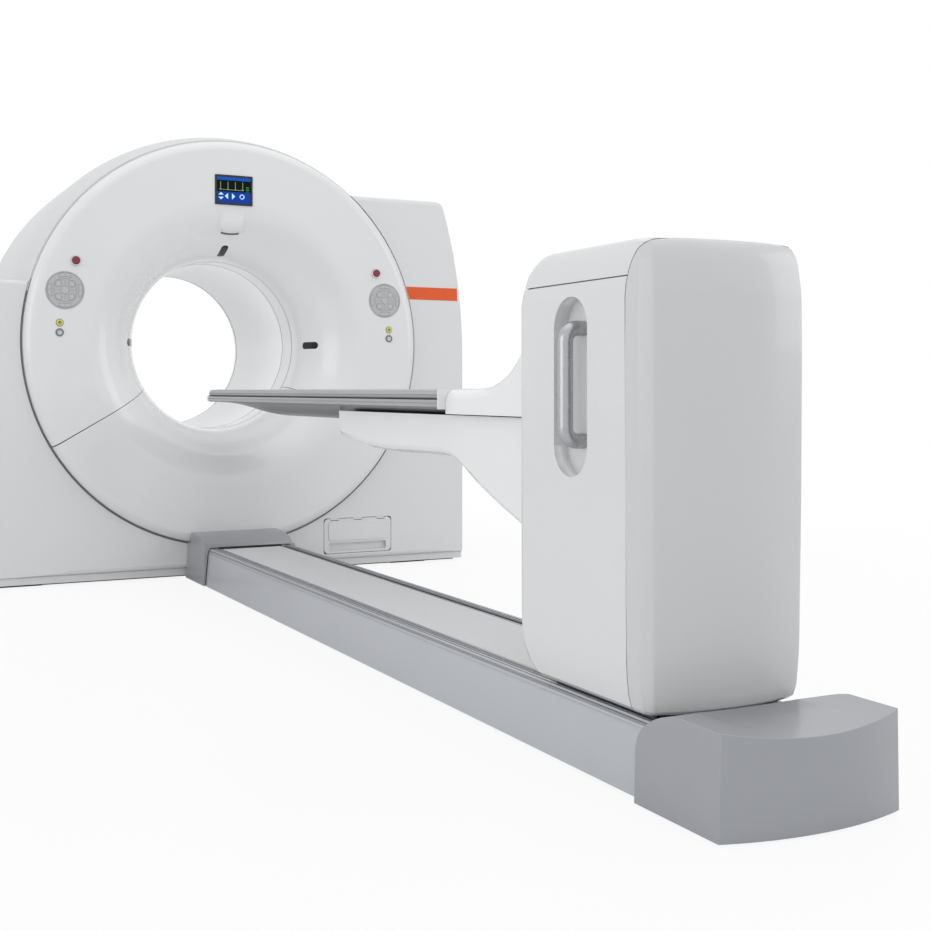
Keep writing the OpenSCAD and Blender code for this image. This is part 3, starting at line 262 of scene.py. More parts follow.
SILVER = lacquer("silver_lacquer", 0.53, 0.42)
# The caps' copies of the lacquer are darker than the rail's, a painted shade; the edge copy is
# darker still, for strips of painted shade along the rail.
SILVER_FAR = lacquer("silver_lacquer_far", 0.385, 0.42)
SILVER_DEEP = lacquer("silver_lacquer_cap", 0.375, 0.40)
SHADE_GREY = lacquer("silver_lacquer_edge", 0.30, 0.42)
HULL_GREY = lacquer("pallet_hull_lacquer", 0.09, 0.42, (0.99, 1.0, 1.01))
SATIN_METAL = brushed("satin_metal_grip", 0.50, 0.27, (9, 9, 1), (0.98, 1.0, 1.02), 0.95)
ALUMINIUM = brushed("drawn_aluminium", 0.62, 0.3, (14, 1, 14))
MACHINED = brushed("machined_steel", 0.5, 0.28, (1, 22, 1))
COPPER = brushed("copper_rings", 0.6, 0.3, (1, 30, 1), (1.0, 0.52, 0.32))

# %% [markdown]
# Inside, the frames are powder coated and the castings are left as they came from the mould.
# Rubber and plain plastic are the same recipe with a low level: a slow patchiness for handling
# and dust, and a fine pit for the surface itself.

# %% Painted steel, castings, plastic and rubber
def painted(name, level, roughness, tint=(1.0, 1.0, 1.0), metallic=0.0, grain=90.0):
    f = Finish(name, roughness=roughness, metallic=metallic)
    patch = f.noise(6.0, 4.0)
    pit = f.noise(grain, 3.0, 0.6)
    f.colour(f.blend(patch * 0.6 + pit * 0.4, grey(level * 0.8, tint), grey(level * 1.2, tint)))
    f.rough(pit * 0.2 + patch * 0.1 + (roughness - 0.12))
    return f.bump(pit, 0.0002, 0.5).material


STEEL_PAINT = painted("powder_coated_steel", 0.30, 0.55, (0.94, 0.98, 1.05))
DARK_STEEL = painted("dark_coated_steel", 0.05, 0.5, (0.95, 1.0, 1.06))
CASTING = painted("cast_alloy", 0.42, 0.5, metallic=0.8, grain=40.0)
BLACK_PLASTIC = painted("black_plastic", 0.012, 0.35)
DARK_GLASS = painted("smoked_window", 0.006, 0.08)
# The plinth's near black is painted shade under the wings. The black finish below is painted shade
# for gaps and grooves: the cap's mouth, the rail's groove and the joint under the mattress.
PLINTH_DARK = painted("shadow_plinth", 0.012, 0.7)
SHADE_BLACK = painted("rubber_seal", 0.008, 0.6)
SEAL_GREY = painted("grey_bead", 0.09, 0.6)
GASKET = painted("pale_gasket", 0.26, 0.6)
BOARD_GREEN = painted("module_housing", 0.11, 0.5, (0.8, 1.1, 0.95))

# %% [markdown]
# Only a few places are coloured: the stop buttons are a clear red moulding, the lamps are
# yellow lenses, and an orange band crosses the right wing. Small parts still get a grain,
# because a lens or a foil that is one flat colour reads as unfinished.

# %% Coloured small parts
def moulded(name, tone, roughness, coat=0.3, grain=220.0):
    f = Finish(name, roughness=roughness, coat_weight=coat)
    speck = f.noise(grain, 2.0)
    soft = f.noise(18.0, 2.0)
    low = tuple(c * 0.84 for c in tone) + (1.0,)
    high = tuple(min(1.0, c * 1.12) for c in tone) + (1.0,)
    f.colour(f.blend(speck * 0.5 + soft * 0.5, low, high))
    f.rough(speck * 0.1 + (roughness - 0.05))
    return f.bump(speck, 0.00004, 0.5).material


SPEAKER_GREY = moulded("speaker_grey", (0.09, 0.09, 0.095), 0.5, 0.0)
STOP_RED = moulded("stop_button_red", (0.22, 0.008, 0.022), 0.32, 0.4)
BAND_ORANGE = moulded("orange_band_foil", (0.74, 0.092, 0.006), 0.5, 0.0)
THREAD = moulded("seam_thread", (0.30, 0.31, 0.32), 0.6, 0.0)
print("a moulded finish has", len(STOP_RED.node_tree.nodes), "nodes")

# %% [markdown]
# The tread of the cover band is plastic, scuffed along its length by the carriage. The mattress
# is coated cloth: its grain is a net of small cells like leather, with a few soft folds in the
# gloss.

# %% Cover band and mattress
def band_plastic(name):
    f = Finish(name, roughness=0.45)
    scuff = f.noise(9.0, 5.0, 0.6, f.stretched(6, 1, 6))
    grain = f.noise(500.0, 2.0)
    f.colour(f.blend(scuff * 0.7 + grain * 0.3, grey(0.66), grey(0.78)))
    f.rough(scuff * 0.2 + 0.36)
    return f.bump(grain, 0.00008, 0.6).material


def vinyl(name, level, tint=(0.99, 1.0, 1.01)):
    f = Finish(name, roughness=0.42, coat_weight=0.12, coat_roughness=0.3)
    cell = f.node("ShaderNodeTexVoronoi", {"feature": "DISTANCE_TO_EDGE"}, Vector=f.place(),
                  Scale=650.0)
    fold = f.noise(5.0, 4.0, 0.55, f.stretched(2.5, 1.0, 2.5))
    pebble = cell * 2.0 + f.noise(300.0, 2.0) * 0.4
    f.colour(f.blend(fold * 0.7 + pebble * 0.3, grey(level * 0.86, tint),
                     grey(level * 1.14, tint)))
    f.rough(fold * 0.16 + pebble * 0.05 + 0.34)
    return f.bump(pebble, 0.00012, 0.5).material


BAND = band_plastic("ribbed_band")
VINYL = vinyl("mattress_vinyl", 0.40)

# %% [markdown]
# The screen shows a heart trace and a row of arrows. It is drawn by arithmetic on the
# position across the glass: each stroke is one comparison, and a mask picks its colour.
# Places run from 0 to 1 across the glass and up it.

# %% Screen display
def screen_material(name, node):
    f = Finish(name, roughness=0.2, emission_strength=0.7)
    f.shader.inputs["Specular IOR Level"].default_value = 0.12
    low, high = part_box(node)
    x, _, z = f.axes(f.place())
    u = (x - (low.x + high.x) / 2) / (high.x - low.x) + 0.5
    v = (z - (low.z + high.z) / 2) / (high.z - low.z) + 0.5

    bar = v > 0.87
    panel = v < 0.43
    beat = (u * 4.6) % 1.0
    spike = abs(beat - 0.5)
    trace_height = 0.515 + (spike < 0.035) * 0.28 + (spike < 0.10) * 0.02
    trace = v.within(0.5, trace_height) * u.within(0.06, 0.80) * (1.0 - panel)
    reading = ((v * 12.0) % 1.0).within(0.3, 0.7) * u.within(0.86, 0.95) * v.within(0.46, 0.66)

    def arrow(cx, cz, size, du, dv):
        along = (u - cx) * du * 1.25 + (v - cz) * dv
        aside = abs((u - cx) * dv * 1.25) + abs((v - cz) * du)
        return (along + aside < size) * (along > -size * 0.4)

    from_ring = length_of((u - 0.74) * 1.3, v - 0.26)
    ring = from_ring.within(0.062, 0.094) * (1.0 - (u < 0.70) * (v < 0.22))
    signs = (arrow(0.30, 0.26, 0.085, -1, 0) + arrow(0.47, 0.26, 0.085, 1, 0)
             + arrow(0.12, 0.33, 0.07, 0, 1) + arrow(0.12, 0.19, 0.07, 0, -1) + ring)
    tone = f.blend(panel, grey(0.0015), (0.004, 0.030, 0.20, 1.0))
    for mask, lit in ((bar, (0.006, 0.055, 0.26, 1.0)), (reading, (0.02, 0.22, 0.05, 1.0)),
                      (trace, (0.16, 0.28, 0.16, 1.0)), (signs, (0.38, 0.56, 0.80, 1.0))):
        tone = f.blend(mask, tone, lit)
    print(f"screen {(high.x - low.x) * 1000:.0f} by {(high.z - low.z) * 1000:.0f} mm")
    return f.colour(tone).feed("Emission Color", tone).rough(f.noise(30.0) * 0.06 + 0.1).material


SCREEN = screen_material("screen_picture", "display_screen")

# %% [markdown]
# The two keypads and the lamps stand left and right of the bore, so one pattern serves both
# sides when it is measured from the absolute distance to the middle. A keypad is one membrane:
# rings and arcs are pressed into it, and each pressed line is lower and painted darker, a
# painted shade in the crease; the raised keys and rings are painted lighter, a painted
# highlight. All sizes in these patterns are shares of the round part's radius.

# %% Where a pair of round parts stands
def pair_middle(node):
    """Middle of the right one of a left and right pair, in X and Z, and its radius."""
    low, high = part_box(node)
    radius = (high.z - low.z) / 2
    return high.x - radius, low.z + radius, radius


def around(f, node):
    """Distance from the nearer one's middle in radii, and both offsets in radii."""
    cx, cz, radius = pair_middle(node)
    x, _, z = f.axes(f.place())
    across, up = (abs(x) - cx) / radius, (z - cz) / radius
    return length_of(across, up), across, up


# %% Keypads
def keypad_material(name, level):
    f = Finish(name, roughness=0.5)
    far, across, up = around(f, "control_pads")
    nearest = f.math("MINIMUM", abs(across), abs(up))
    keys = length_of(abs(across) - 0.354, abs(up) - 0.354)
    beside_axis = nearest < 0.30
    lines = (nearest < 0.010) * far.within(0.28, 0.54)
    lines = lines + nearest.line_at(0.30, 0.012) * far.within(0.72, 0.90)
    lines = lines + keys.line_at(0.175, 0.013)
    for place, half in ((0.945, 0.014), (0.60, 0.012), (0.215, 0.014)):
        lines = lines + far.line_at(place, half)
    for place in (0.72, 0.90):
        lines = lines + far.line_at(place, 0.012) * beside_axis
    raised = far.within(0.70, 0.92) * beside_axis + (keys < 0.17) + (far < 0.20)
    signs = 0.0
    for x, y in ((0, 0.81), (0, -0.81), (0.81, 0), (-0.81, 0)):
        signs = signs + (length_of(across - x, up - y) < 0.045)
    fine = f.noise(700.0, 2.0)
    tone = f.blend(fine, grey(level * 0.95), grey(level * 1.05))
    # Raised parts are painted lighter, a painted highlight, and pressed lines darker, a painted
    # shade in the creases; the signs are print.
    tone = f.blend(raised * 0.35, tone, grey(level * 1.16))
    f.colour(f.blend(lines * 0.75 + signs * 0.4, tone, grey(level * 0.55)))
    f.rough(fine * 0.1 + 0.42)
    return f.bump(fine * 0.1 - lines, 0.0006, 0.8).material


# %% [markdown]
# A warning lamp is a domed lens in a darker rim, and below it sits a socket with a metal rim.
# Both are small and nearly flat, so zones of colour by distance from the middle say enough,
# and they need no geometry beyond the rounded disc of the CAD piece.

# %% Lamps and sockets
def lamp_material(name):
    """A domed lens with a darker rim and a plain three-cornered mark in the middle."""
    f = Finish(name, roughness=0.22, coat_weight=0.5)
    far, across, up = around(f, "warning_lamps")
    mark = (abs(across) * 1.7 - up < 0.24) * up.within(-0.05, 0.30)
    speck = f.noise(260.0, 2.0)
    tone = f.blend(speck, (0.46, 0.42, 0.02, 1.0), (0.62, 0.56, 0.05, 1.0))
    tone = f.blend(far.within(0.62, 0.82), tone, (0.66, 0.62, 0.22, 1.0))
    tone = f.blend(far > 0.84, tone, (0.20, 0.20, 0.05, 1.0))
    f.colour(f.blend((far < 0.42) * 0.5 + mark * 0.5, tone, (0.10, 0.09, 0.02, 1.0)))
    return f.rough(speck * 0.1 + 0.18).material


def ring_material(name):
    """A socket with a dark metal rim and a pale middle."""
    f = Finish(name, roughness=0.3, coat_weight=0.2)
    far, _, _ = around(f, "status_rings")
    speck = f.noise(260.0, 2.0)
    rim = f.blend(speck, (0.13, 0.14, 0.155, 1.0), (0.19, 0.20, 0.22, 1.0))
    f.colour(f.blend(far < 0.60, rim, f.blend(speck, grey(0.50), grey(0.62))))
    return f.rough(speck * 0.14 + 0.24).material


KEY_GREY = keypad_material("keypad_membrane", 0.46)
LENS_YELLOW = lamp_material("lamp_lens_yellow")
RING_GREY = ring_material("socket_ring")
print("keypad nodes", len(KEY_GREY.node_tree.nodes))

# %% [markdown]
# ## Who wears what
# One table gives each CAD node its finish. Nodes that stay as they are only change material.

# %% Finish table
finish_of = {
    GLOSS_WHITE: "front_cover_upper front_cover_lower rear_cover bore_ring estop_collars",
    LINER_WHITE_PAINTED_LIGHT: "tunnel_liner",
    DRUM_WHITE: "drum_cover",
    SATIN_WHITE: "front_panel_right front_panel_left side_cover_right side_cover_left "
                 "rear_panels access_hatch",
    PEDESTAL_GLOSS_PAINTED_SHADE: "pedestal_shell pedestal_top_cap",
    ARM_WHITE_PAINTED_LIGHT: "lower_arm_cover upper_arm_cover",
    PEDESTAL_SATIN_PAINTED_SHADE: "pedestal_rear_cover",
    SILVER: "side_rail_left side_rail_right",
    SILVER_FAR: "end_cap_far",
    SILVER_DEEP: "end_cap_near",
    SATIN_METAL: "grab_handle_left grab_handle_right",
    ALUMINIUM: "guide_rails hatch_hinge",
    STEEL_PAINT: "gantry_base_frame ct_stand pet_stand carriage_frame pedestal_column arm_beam "
                 "rail_base",
    DARK_STEEL: "rail_drive brush_block",
    CASTING: "rotor_drum xray_tube hv_generator",
    MACHINED: "main_bearing bearing_blocks counterweights",
    COPPER: "slip_ring drive_stator",
    BLACK_PLASTIC: "display_bezel intercom",
    DARK_GLASS: "laser_windows",
    PLINTH_DARK: "plinth",
    BOARD_GREEN: "pet_detector_ring detector_arc cooling_unit",
    STOP_RED: "estop_left estop_right",
    LENS_YELLOW: "warning_lamps",
    BAND_ORANGE: "trim_band",
    KEY_GREY: "control_pads",
    RING_GREY: "status_rings",
    HULL_GREY: "pallet",
    VINYL: "mattress",
    BAND: "cover_band",
    SCREEN: "display_screen",
}
finish_by_node = {n: m for m, names in finish_of.items() for n in names.split()}


def wear(mesh, material):
    mesh.materials.clear()
    mesh.materials.append(material)


for name, obj in nodes.items():
    wear(obj.data, finish_by_node[name])
print("finishes", len(finish_of), "nodes without one", sorted(set(nodes) - set(finish_by_node)))

# %% [markdown]
# ## From working mesh to finished piece
# A piece is built as a bmesh, where points and faces are easy to add, and then becomes a plain
# mesh. Its modifiers are applied by asking Blender for the evaluated object, so what is kept
# needs nothing else.

# %% Mesh helpers
def mesh_from(work, name, outward=True):
    """A mesh of the bmesh, with its faces turned outward."""
    if outward:
        bmesh.ops.recalc_face_normals(work, faces=work.faces)
    mesh = bpy.data.meshes.new(name)
    work.to_mesh(mesh)
    work.free()
    return mesh


def placed(name, data):
    obj = bpy.data.objects.new(name, data)
    bpy.context.scene.collection.objects.link(obj)
    return obj


def applied(obj):
    """The object's mesh with its modifiers applied."""
    graph = bpy.context.evaluated_depsgraph_get()
    return bpy.data.meshes.new_from_object(obj.evaluated_get(graph))


def points_mesh(points, edges=()):
    mesh = bpy.data.meshes.new("points")
    mesh.from_pydata([tuple(p) for p in points], list(edges), [])
    return mesh


# %% [markdown]
# Every piece ends the same way. A narrow bevel gives each edge the thin highlight that moulded
# and cast edges have, and weighted normals keep the big flat faces truly flat. Both are baked
# into the mesh, and then the piece is told which body it moves with.

# %% Finished piece
def finished(name, mesh, material, body, smooth=34.0, bevel=0.0, segments=2, limit="ANGLE"):
    """smooth is the angle in degrees up to which two faces share a normal."""
    obj = placed(name, mesh)
    wear(mesh, material)
    mesh.shade_smooth()
    mesh.set_sharp_from_angle(angle=math.radians(smooth))
    if bevel:
        edge = obj.modifiers.new("edge", "BEVEL")
        edge.width = bevel
        edge.segments = segments
        edge.limit_method = limit
        edge.angle_limit = math.radians(smooth)
        edge.use_clamp_overlap = True
        edge.harden_normals = False
    obj.modifiers.new("weigh", "WEIGHTED_NORMAL").keep_sharp = True
    baked = applied(obj)
    obj.modifiers.clear()
    obj.data = baked
    baked.name = name
    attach(obj, body)
    return obj


# %% [markdown]
# A CAD mesh is loose triangles, which shade flat. Where its outline is already right, a copy
# is welded, its flat areas are merged into whole faces, and faces that meet at a small angle
# share a smooth normal.

# %% Smooth skins from CAD outlines
def welded(node, flat=0.4):
    mesh = nodes[node].data.copy()
    work = bmesh.new()
    work.from_mesh(mesh)
    bmesh.ops.remove_doubles(work, verts=work.verts, dist=0.00003)
    bmesh.ops.dissolve_limit(work, angle_limit=math.radians(flat), verts=work.verts,
                             edges=work.edges)
    work.to_mesh(mesh)
    work.free()
    return mesh


def skin(node, mesh, *edge):
    obj = finished(node + "_skin", mesh, finish_by_node[node], body_for[node], *edge)
    print(node, len(obj.data.polygons), "faces")
    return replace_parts(obj, node)


# %% [markdown]
# ## Geometry Nodes recipes
# A recipe is a Geometry Nodes tree with named inputs. It runs on a mesh once, what comes out
# is kept as a plain mesh, and the modifier goes. Each recipe ends by realising its instances
# and setting its material.

# %% Recipe: a Geometry Nodes tree with named inputs
class Recipe(Graph):
    def __init__(self, name, **inputs):
        super().__init__(bpy.data.node_groups.new(name, "GeometryNodeTree"))
        self.ids = {}
        self.socket("Geometry", "Geometry")
        for label, (kind, value) in inputs.items():
            self.socket(label, kind).default_value = value
        self.socket("Finish", "Material")
        self.socket("Geometry", "Geometry", "OUTPUT")
        self.start = self.node("NodeGroupInput").socket.node

    def socket(self, label, kind, way="INPUT"):
        made = self.tree.interface.new_socket(label.replace("_", " "), in_out=way,
                                              socket_type="NodeSocket" + kind)
        self.ids[label] = made.identifier
        return made

    def given(self, label):
        return Wire(self, self.start.outputs[label.replace("_", " ")])

    def ends(self, geometry):
        real = self.node("GeometryNodeRealizeInstances", Geometry=geometry)
        dressed = self.node("GeometryNodeSetMaterial", Geometry=real,
                            Material=self.given("Finish"))
        self.node("NodeGroupOutput", Geometry=dressed)
        return self

    def run(self, mesh, material, **values):
        obj = placed("work", mesh)
        modifier = obj.modifiers.new("recipe", "NODES")
        modifier.node_group = self.tree
        modifier[self.ids["Finish"]] = material
        for label, value in values.items():
            modifier[self.ids[label]] = value
        made = applied(obj)
        bpy.data.objects.remove(obj)
        return made


# %% [markdown]
# The front covers are one trumpet-shaped outline turned about the bore: a funnel that swells
# into a flat face and rounds over at the rim. The recipe lays a grid, reads along one side as
# the angle and along the other as the place on the outline, and bends the grid round. The
# outline goes out along the visible skin and back along the inside, so the wall has its
# thickness at once.

# %% Recipe: turn an outline about the bore
def turning_recipe():
    g = Recipe("turn_outline", Start=("Float", 0.0), End=("Float", 360.0),
               Steps=("Int", 288), Axis_Height=("Float", 1.0))
    outline = g.given("Geometry")
    count = g.node("GeometryNodeAttributeDomainSize", {"component": "MESH"}, Geometry=outline)
    grid = g.node("GeometryNodeMeshGrid", Vertices_X=g.given("Steps") + 1.0, Vertices_Y=count)
    place = g.node("GeometryNodeInputPosition")
    along, across, _ = g.axes(place)
    turn = (along + 0.5) * (g.given("End") - g.given("Start"))
    angle = g.math("RADIANS", turn + g.given("Start"))
    row = (across + 0.5) * (count - 1.0)
    spot = g.node("GeometryNodeSampleIndex", {"data_type": "FLOAT_VECTOR", "clamp": True},
                  out="Value", Geometry=outline, Value=place, Index=g.math("ROUND", row))
    radius, depth, _ = g.axes(spot)
    target = g.node("ShaderNodeCombineXYZ", X=radius * g.math("COSINE", angle), Y=depth,
                    Z=radius * g.math("SINE", angle) + g.given("Axis_Height"))
    bent = g.node("GeometryNodeSetPosition", Geometry=grid, Position=target)
    return g.ends(g.node("GeometryNodeMergeByDistance", Geometry=bent, Distance=0.00002))


TURN = turning_recipe()
print("turning recipe", len(TURN.tree.nodes), "nodes")


def turned(outline, start, end, steps, material):
    """outline is a closed loop of (radius, depth behind the wing plane) in metres."""
    loop = [(r, WING_Y + y, 0.0) for r, y in outline + outline[:1]]
    mesh = TURN.run(points_mesh(loop), material, Start=float(start), End=float(end), Steps=steps,
                    Axis_Height=AXIS_Z)
    work = bmesh.new()
    work.from_mesh(mesh)
    if end - start < 359.9:
        open_ends = [e for e in work.edges if e.is_boundary]
        bmesh.ops.holes_fill(work, edges=open_ends, sides=0)
    return mesh_from(work, mesh.name)


# %% [markdown]
# The outline itself is two arcs of ellipses: one for the funnel, from the bore out to the flat
# face, and a small one for the rim. Ellipses are what a pattern maker would use, and a second
# copy set in by the wall's thickness closes the loop.

# %% Outline of the front cover
BORE_R = 0.390
DISC_R = 0.900
FUNNEL_DEPTH = 0.285
FLARE = 0.250               # how far out from the bore the funnel reaches
FLARE_C = BORE_R + FLARE
PROUD = WING_Y - FACE_Y     # the disc's face in front of the wings, and its rim's radius
LAP = 0.034                 # the rim runs back this far over the drum


def elliptic(cx, cy, a, b, start, end, steps):
    angles = [math.radians(start + (end - start) * i / steps) for i in range(steps + 1)]
    return [(cx + a * math.cos(t), cy + b * math.sin(t)) for t in angles]


def front_outline(depth):
    funnel = elliptic(FLARE_C, FUNNEL_DEPTH, FLARE - depth, FUNNEL_DEPTH + PROUD - depth,
                      180, 270, 44)
    rim = elliptic(DISC_R - PROUD, 0.0, PROUD - depth, PROUD - depth, -90, 0, 10)
    return funnel + rim + [(DISC_R - depth, LAP)]


front_loop = front_outline(0.0) + front_outline(WALL)[::-1]
print("front outline", len(front_loop), "points, proud", round(PROUD, 4))

# %% [markdown]
# Openings are cut with solids that stand for what goes through them: round ones for the stop
# buttons, lamps and keypads, a rounded box for the screen, and slots for the laser windows.
# A boolean cut gives the true hole with its wall, which a dark patch of paint would not.

# %% Outlines and cutting
def prism(work, outline, start, end):
    """Adds a solid between two planes across Y, from an outline in X and Z."""
    front = [work.verts.new((x, start, z)) for x, z in outline]
    back = [work.verts.new((x, end, z)) for x, z in outline]
    work.faces.new(front)
    work.faces.new(back[::-1])
    for i in range(len(outline)):
        j = (i + 1) % len(outline)
        work.faces.new((front[j], front[i], back[i], back[j]))


def round_outline(x, z, radius, steps=64):
    return elliptic(x, z, radius, radius, 0, 360, steps)[:-1]


def rounded_outline(x0, x1, z0, z1, radius, steps=6):
    corners = [(x1 - radius, z1 - radius, 0), (x0 + radius, z1 - radius, 90),
               (x0 + radius, z0 + radius, 180), (x1 - radius, z0 + radius, 270)]
    return [p for x, z, a in corners for p in elliptic(x, z, radius, radius, a, a + 90, steps)]


def cut(mesh, work):
    knife = placed("knife", mesh_from(work, "knife"))
    obj = placed("work", mesh)
    modifier = obj.modifiers.new("cut", "BOOLEAN")
    modifier.operation = "DIFFERENCE"
    modifier.solver = "EXACT"
    modifier.object = knife
    made = applied(obj)
    for o in (knife, obj):
        bpy.data.objects.remove(o)
    return made


# %% Openings of the front cover
SLOT_FROM, SLOT_TO = 0.0767, 0.1753     # how far behind the wing plane a laser slot runs
SLOT_HALF = 0.0163
SLOT_IN, SLOT_OUT = BORE_R - 0.005, BORE_R + 0.11       # radii that the slot's cutter spans
openings = bmesh.new()
front, back = FACE_Y - 0.01, FACE_Y + 0.03              # depths that the other cutters span
for side in (-1, 1):
    for node, steps in (("control_pads", 96), ("estop_collars", 64), ("warning_lamps", 64),
                        ("status_rings", 64)):
        x, z, radius = pair_middle(node)
        prism(openings, round_outline(side * x, z, radius + SEAT, steps), front, back)
bezel_low, bezel_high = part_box("display_bezel")
prism(openings, rounded_outline(bezel_low.x - SEAT, bezel_high.x + SEAT, bezel_low.z - SEAT,
                                bezel_high.z + SEAT, 0.003), front, back)
for turn in (0, 90, 180):
    slot = bmesh.new()
    stadium = rounded_outline(-SLOT_TO, -SLOT_FROM, -SLOT_HALF, SLOT_HALF, SLOT_HALF - SEAT, 8)
    prism(slot, stadium, SLOT_IN, SLOT_OUT)
    stand = (Matrix.Translation((0, 0, AXIS_Z)) @ Matrix.Rotation(math.radians(-turn), 4, "Y")
             @ Matrix.Translation((0, WING_Y, 0)) @ Matrix.Rotation(math.radians(-90), 4, "Z"))
    bmesh.ops.transform(slot, matrix=stand, verts=slot.verts)
    openings.from_mesh(mesh_from(slot, "slot"))
print("openings", len(openings.verts), "points")

# %% [markdown]
# The real front is moulded in two pieces, because one ring of this size would be hard to mould
# and harder to carry through a door. The joint runs a little below the middle on both sides, so
# the outline is turned in two goes that stop short of each other by a fine gap.

# %% Front covers
SEAM = 30.0                 # the two covers meet this many degrees below the horizontal
HALF_GAP = 0.14
upper = turned(front_loop, -SEAM + HALF_GAP, 180 + SEAM - HALF_GAP, 240, GLOSS_WHITE)
upper = cut(upper, openings)
upper = finished("front_cover_upper_skin", upper, GLOSS_WHITE, "gantry", 30, 0.0009)
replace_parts(upper, "front_cover_upper")
lower = turned(front_loop, 180 + SEAM + HALF_GAP, 360 - SEAM - HALF_GAP, 120, GLOSS_WHITE)
lower = finished("front_cover_lower_skin", lower, GLOSS_WHITE, "gantry", 30, 0.0009)
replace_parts(lower, "front_cover_lower")
print("front covers", len(upper.data.polygons), len(lower.data.polygons), "faces")

# %% [markdown]
# ## Hood over the speaker
# Below the screen the funnel swells into a small hood with an undercut lip, and the speaker's
# grille looks down from under the lip. The hood could be sculpted, but a rule keeps it exact:
# each point of a grid laid on the funnel is pushed forward by a smooth swelling that grows
# towards the lip and fades at the sides, and the last rows turn back under.

# %% Shape of the hood
HOOD_HALF = 0.064
HOOD_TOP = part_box("display_bezel")[0].z - 0.010
HOOD_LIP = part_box("intercom")[0].z + 0.008
HOOD_PROUD = 0.021
LIP_SAG = 0.010             # the lip's middle hangs this far below its ends
LIP_R = 0.004               # radius that the lip turns under with
TOP_SHARE = 0.80            # width at the top as a share of the width at the lip
FADE = 0.42                 # share of the half width over which the swelling fades
SINK = 0.0012               # the hood's edge lies this deep in the cover


def funnel_y(x, z):
    """The front cover's surface: how far back it lies at this place on the face."""
    radius = math.hypot(x, z - AXIS_Z)
    if radius >= FLARE_C:
        return FACE_Y
    across = (FLARE_C - radius) / FLARE
    return WING_Y + FUNNEL_DEPTH - (FUNNEL_DEPTH + PROUD) * math.sqrt(max(0.0, 1 - across ** 2))


def ease(t):
    t = min(1.0, max(0.0, t))
    return t * t * (3 - 2 * t)


def hood_point(u, down, under):
    """u runs across from -1 to 1, down along the hood, and under turns back below the lip."""
    x = HOOD_HALF * u * (TOP_SHARE + (1 - TOP_SHARE) * ease(down * 1.4))
    z = HOOD_TOP + (HOOD_LIP - LIP_SAG * (1 - u * u) - HOOD_TOP) * down
    swell = HOOD_PROUD * ease((1 - abs(u)) / FADE) * ease(down / 0.9) ** 1.3
    turn = math.radians(90 * under)
    z += LIP_R * math.sin(turn) * min(1.0, swell / 0.006) - 0.0025 * math.sin(turn * 2)
    sunk = SINK * (1.0 - ease(swell / 0.001))
    return x, funnel_y(x, z) - swell * math.cos(turn) + sunk, z


# %% [markdown]
# The grid's open edges are drawn back into the cover and closed behind, which makes the hood a
# solid with no gap round it.

# %% Hood
HOOD_COLUMNS, HOOD_ROWS, LIP_ROWS = 72, 60, 6
hood = bmesh.new()
grid = []
for i in range(HOOD_ROWS + LIP_ROWS + 1):
    down, under = min(1.0, i / HOOD_ROWS), max(0, i - HOOD_ROWS) / LIP_ROWS
    grid.append([hood.verts.new(hood_point(2 * j / HOOD_COLUMNS - 1, down, under))
                 for j in range(HOOD_COLUMNS + 1)])
for a, b in zip(grid, grid[1:]):
    for j in range(HOOD_COLUMNS):
        hood.faces.new((a[j], a[j + 1], b[j + 1], b[j]))
open_edges = [e for e in hood.edges if e.is_boundary]
skirting = bmesh.ops.extrude_edge_only(hood, edges=open_edges)["geom"]
bmesh.ops.translate(hood, verts=[v for v in skirting if isinstance(v, bmesh.types.BMVert)],
                    vec=(0, 0.006, 0))
bmesh.ops.holes_fill(hood, edges=[e for e in hood.edges if e.is_boundary], sides=0)
speaker_hood = finished("speaker_hood", mesh_from(hood, "speaker_hood"), GLOSS_WHITE, "gantry", 50)
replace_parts(speaker_hood, "intercom")
print("hood", len(speaker_hood.data.polygons), "faces, lip at", round(HOOD_LIP, 4))

# %% [markdown]
# The grille is a row of upright slats that follow the lip's sag. A slat is a small block, so
# the recipe places one block on each of a list of points, and the bevel rounds them all.

# %% Speaker grille under the lip
def slat_recipe():
    g = Recipe("slats", Wide=("Float", 0.0052), Deep=("Float", 0.009), Tall=("Float", 0.011))
    size = g.node("ShaderNodeCombineXYZ", X=g.given("Wide"), Y=g.given("Deep"),
                  Z=g.given("Tall"))
    slat = g.node("GeometryNodeMeshCube", Size=size)
    return g.ends(g.node("GeometryNodeInstanceOnPoints", Points=g.given("Geometry"),
                         Instance=slat))


SLATS, SLAT_PITCH = 12, 0.007
slat_points = []
for j in range(SLATS):
    x = SLAT_PITCH * (j - (SLATS - 1) / 2)
    z = HOOD_LIP - 0.0085 - 0.0095 * (1 - (x / HOOD_HALF) ** 2)
    slat_points.append((x, funnel_y(x, z) + 0.0025, z))
grille = slat_recipe().run(points_mesh(slat_points), SPEAKER_GREY)
speaker_grille = finished("speaker_grille", grille, SPEAKER_GREY, "gantry", 40, 0.0009)
print("grille", SLATS, "slats", len(speaker_grille.data.polygons), "faces")

# %% [markdown]
# ## Patient table
# The pallet is a long shell like a canoe: flat above, keeled below, narrowing to a rounded
# tongue. Two rules give its half width and its keel at every place along its length, so it is
# lofted from rings, and each ring's underside is a smooth curve through a few corners.

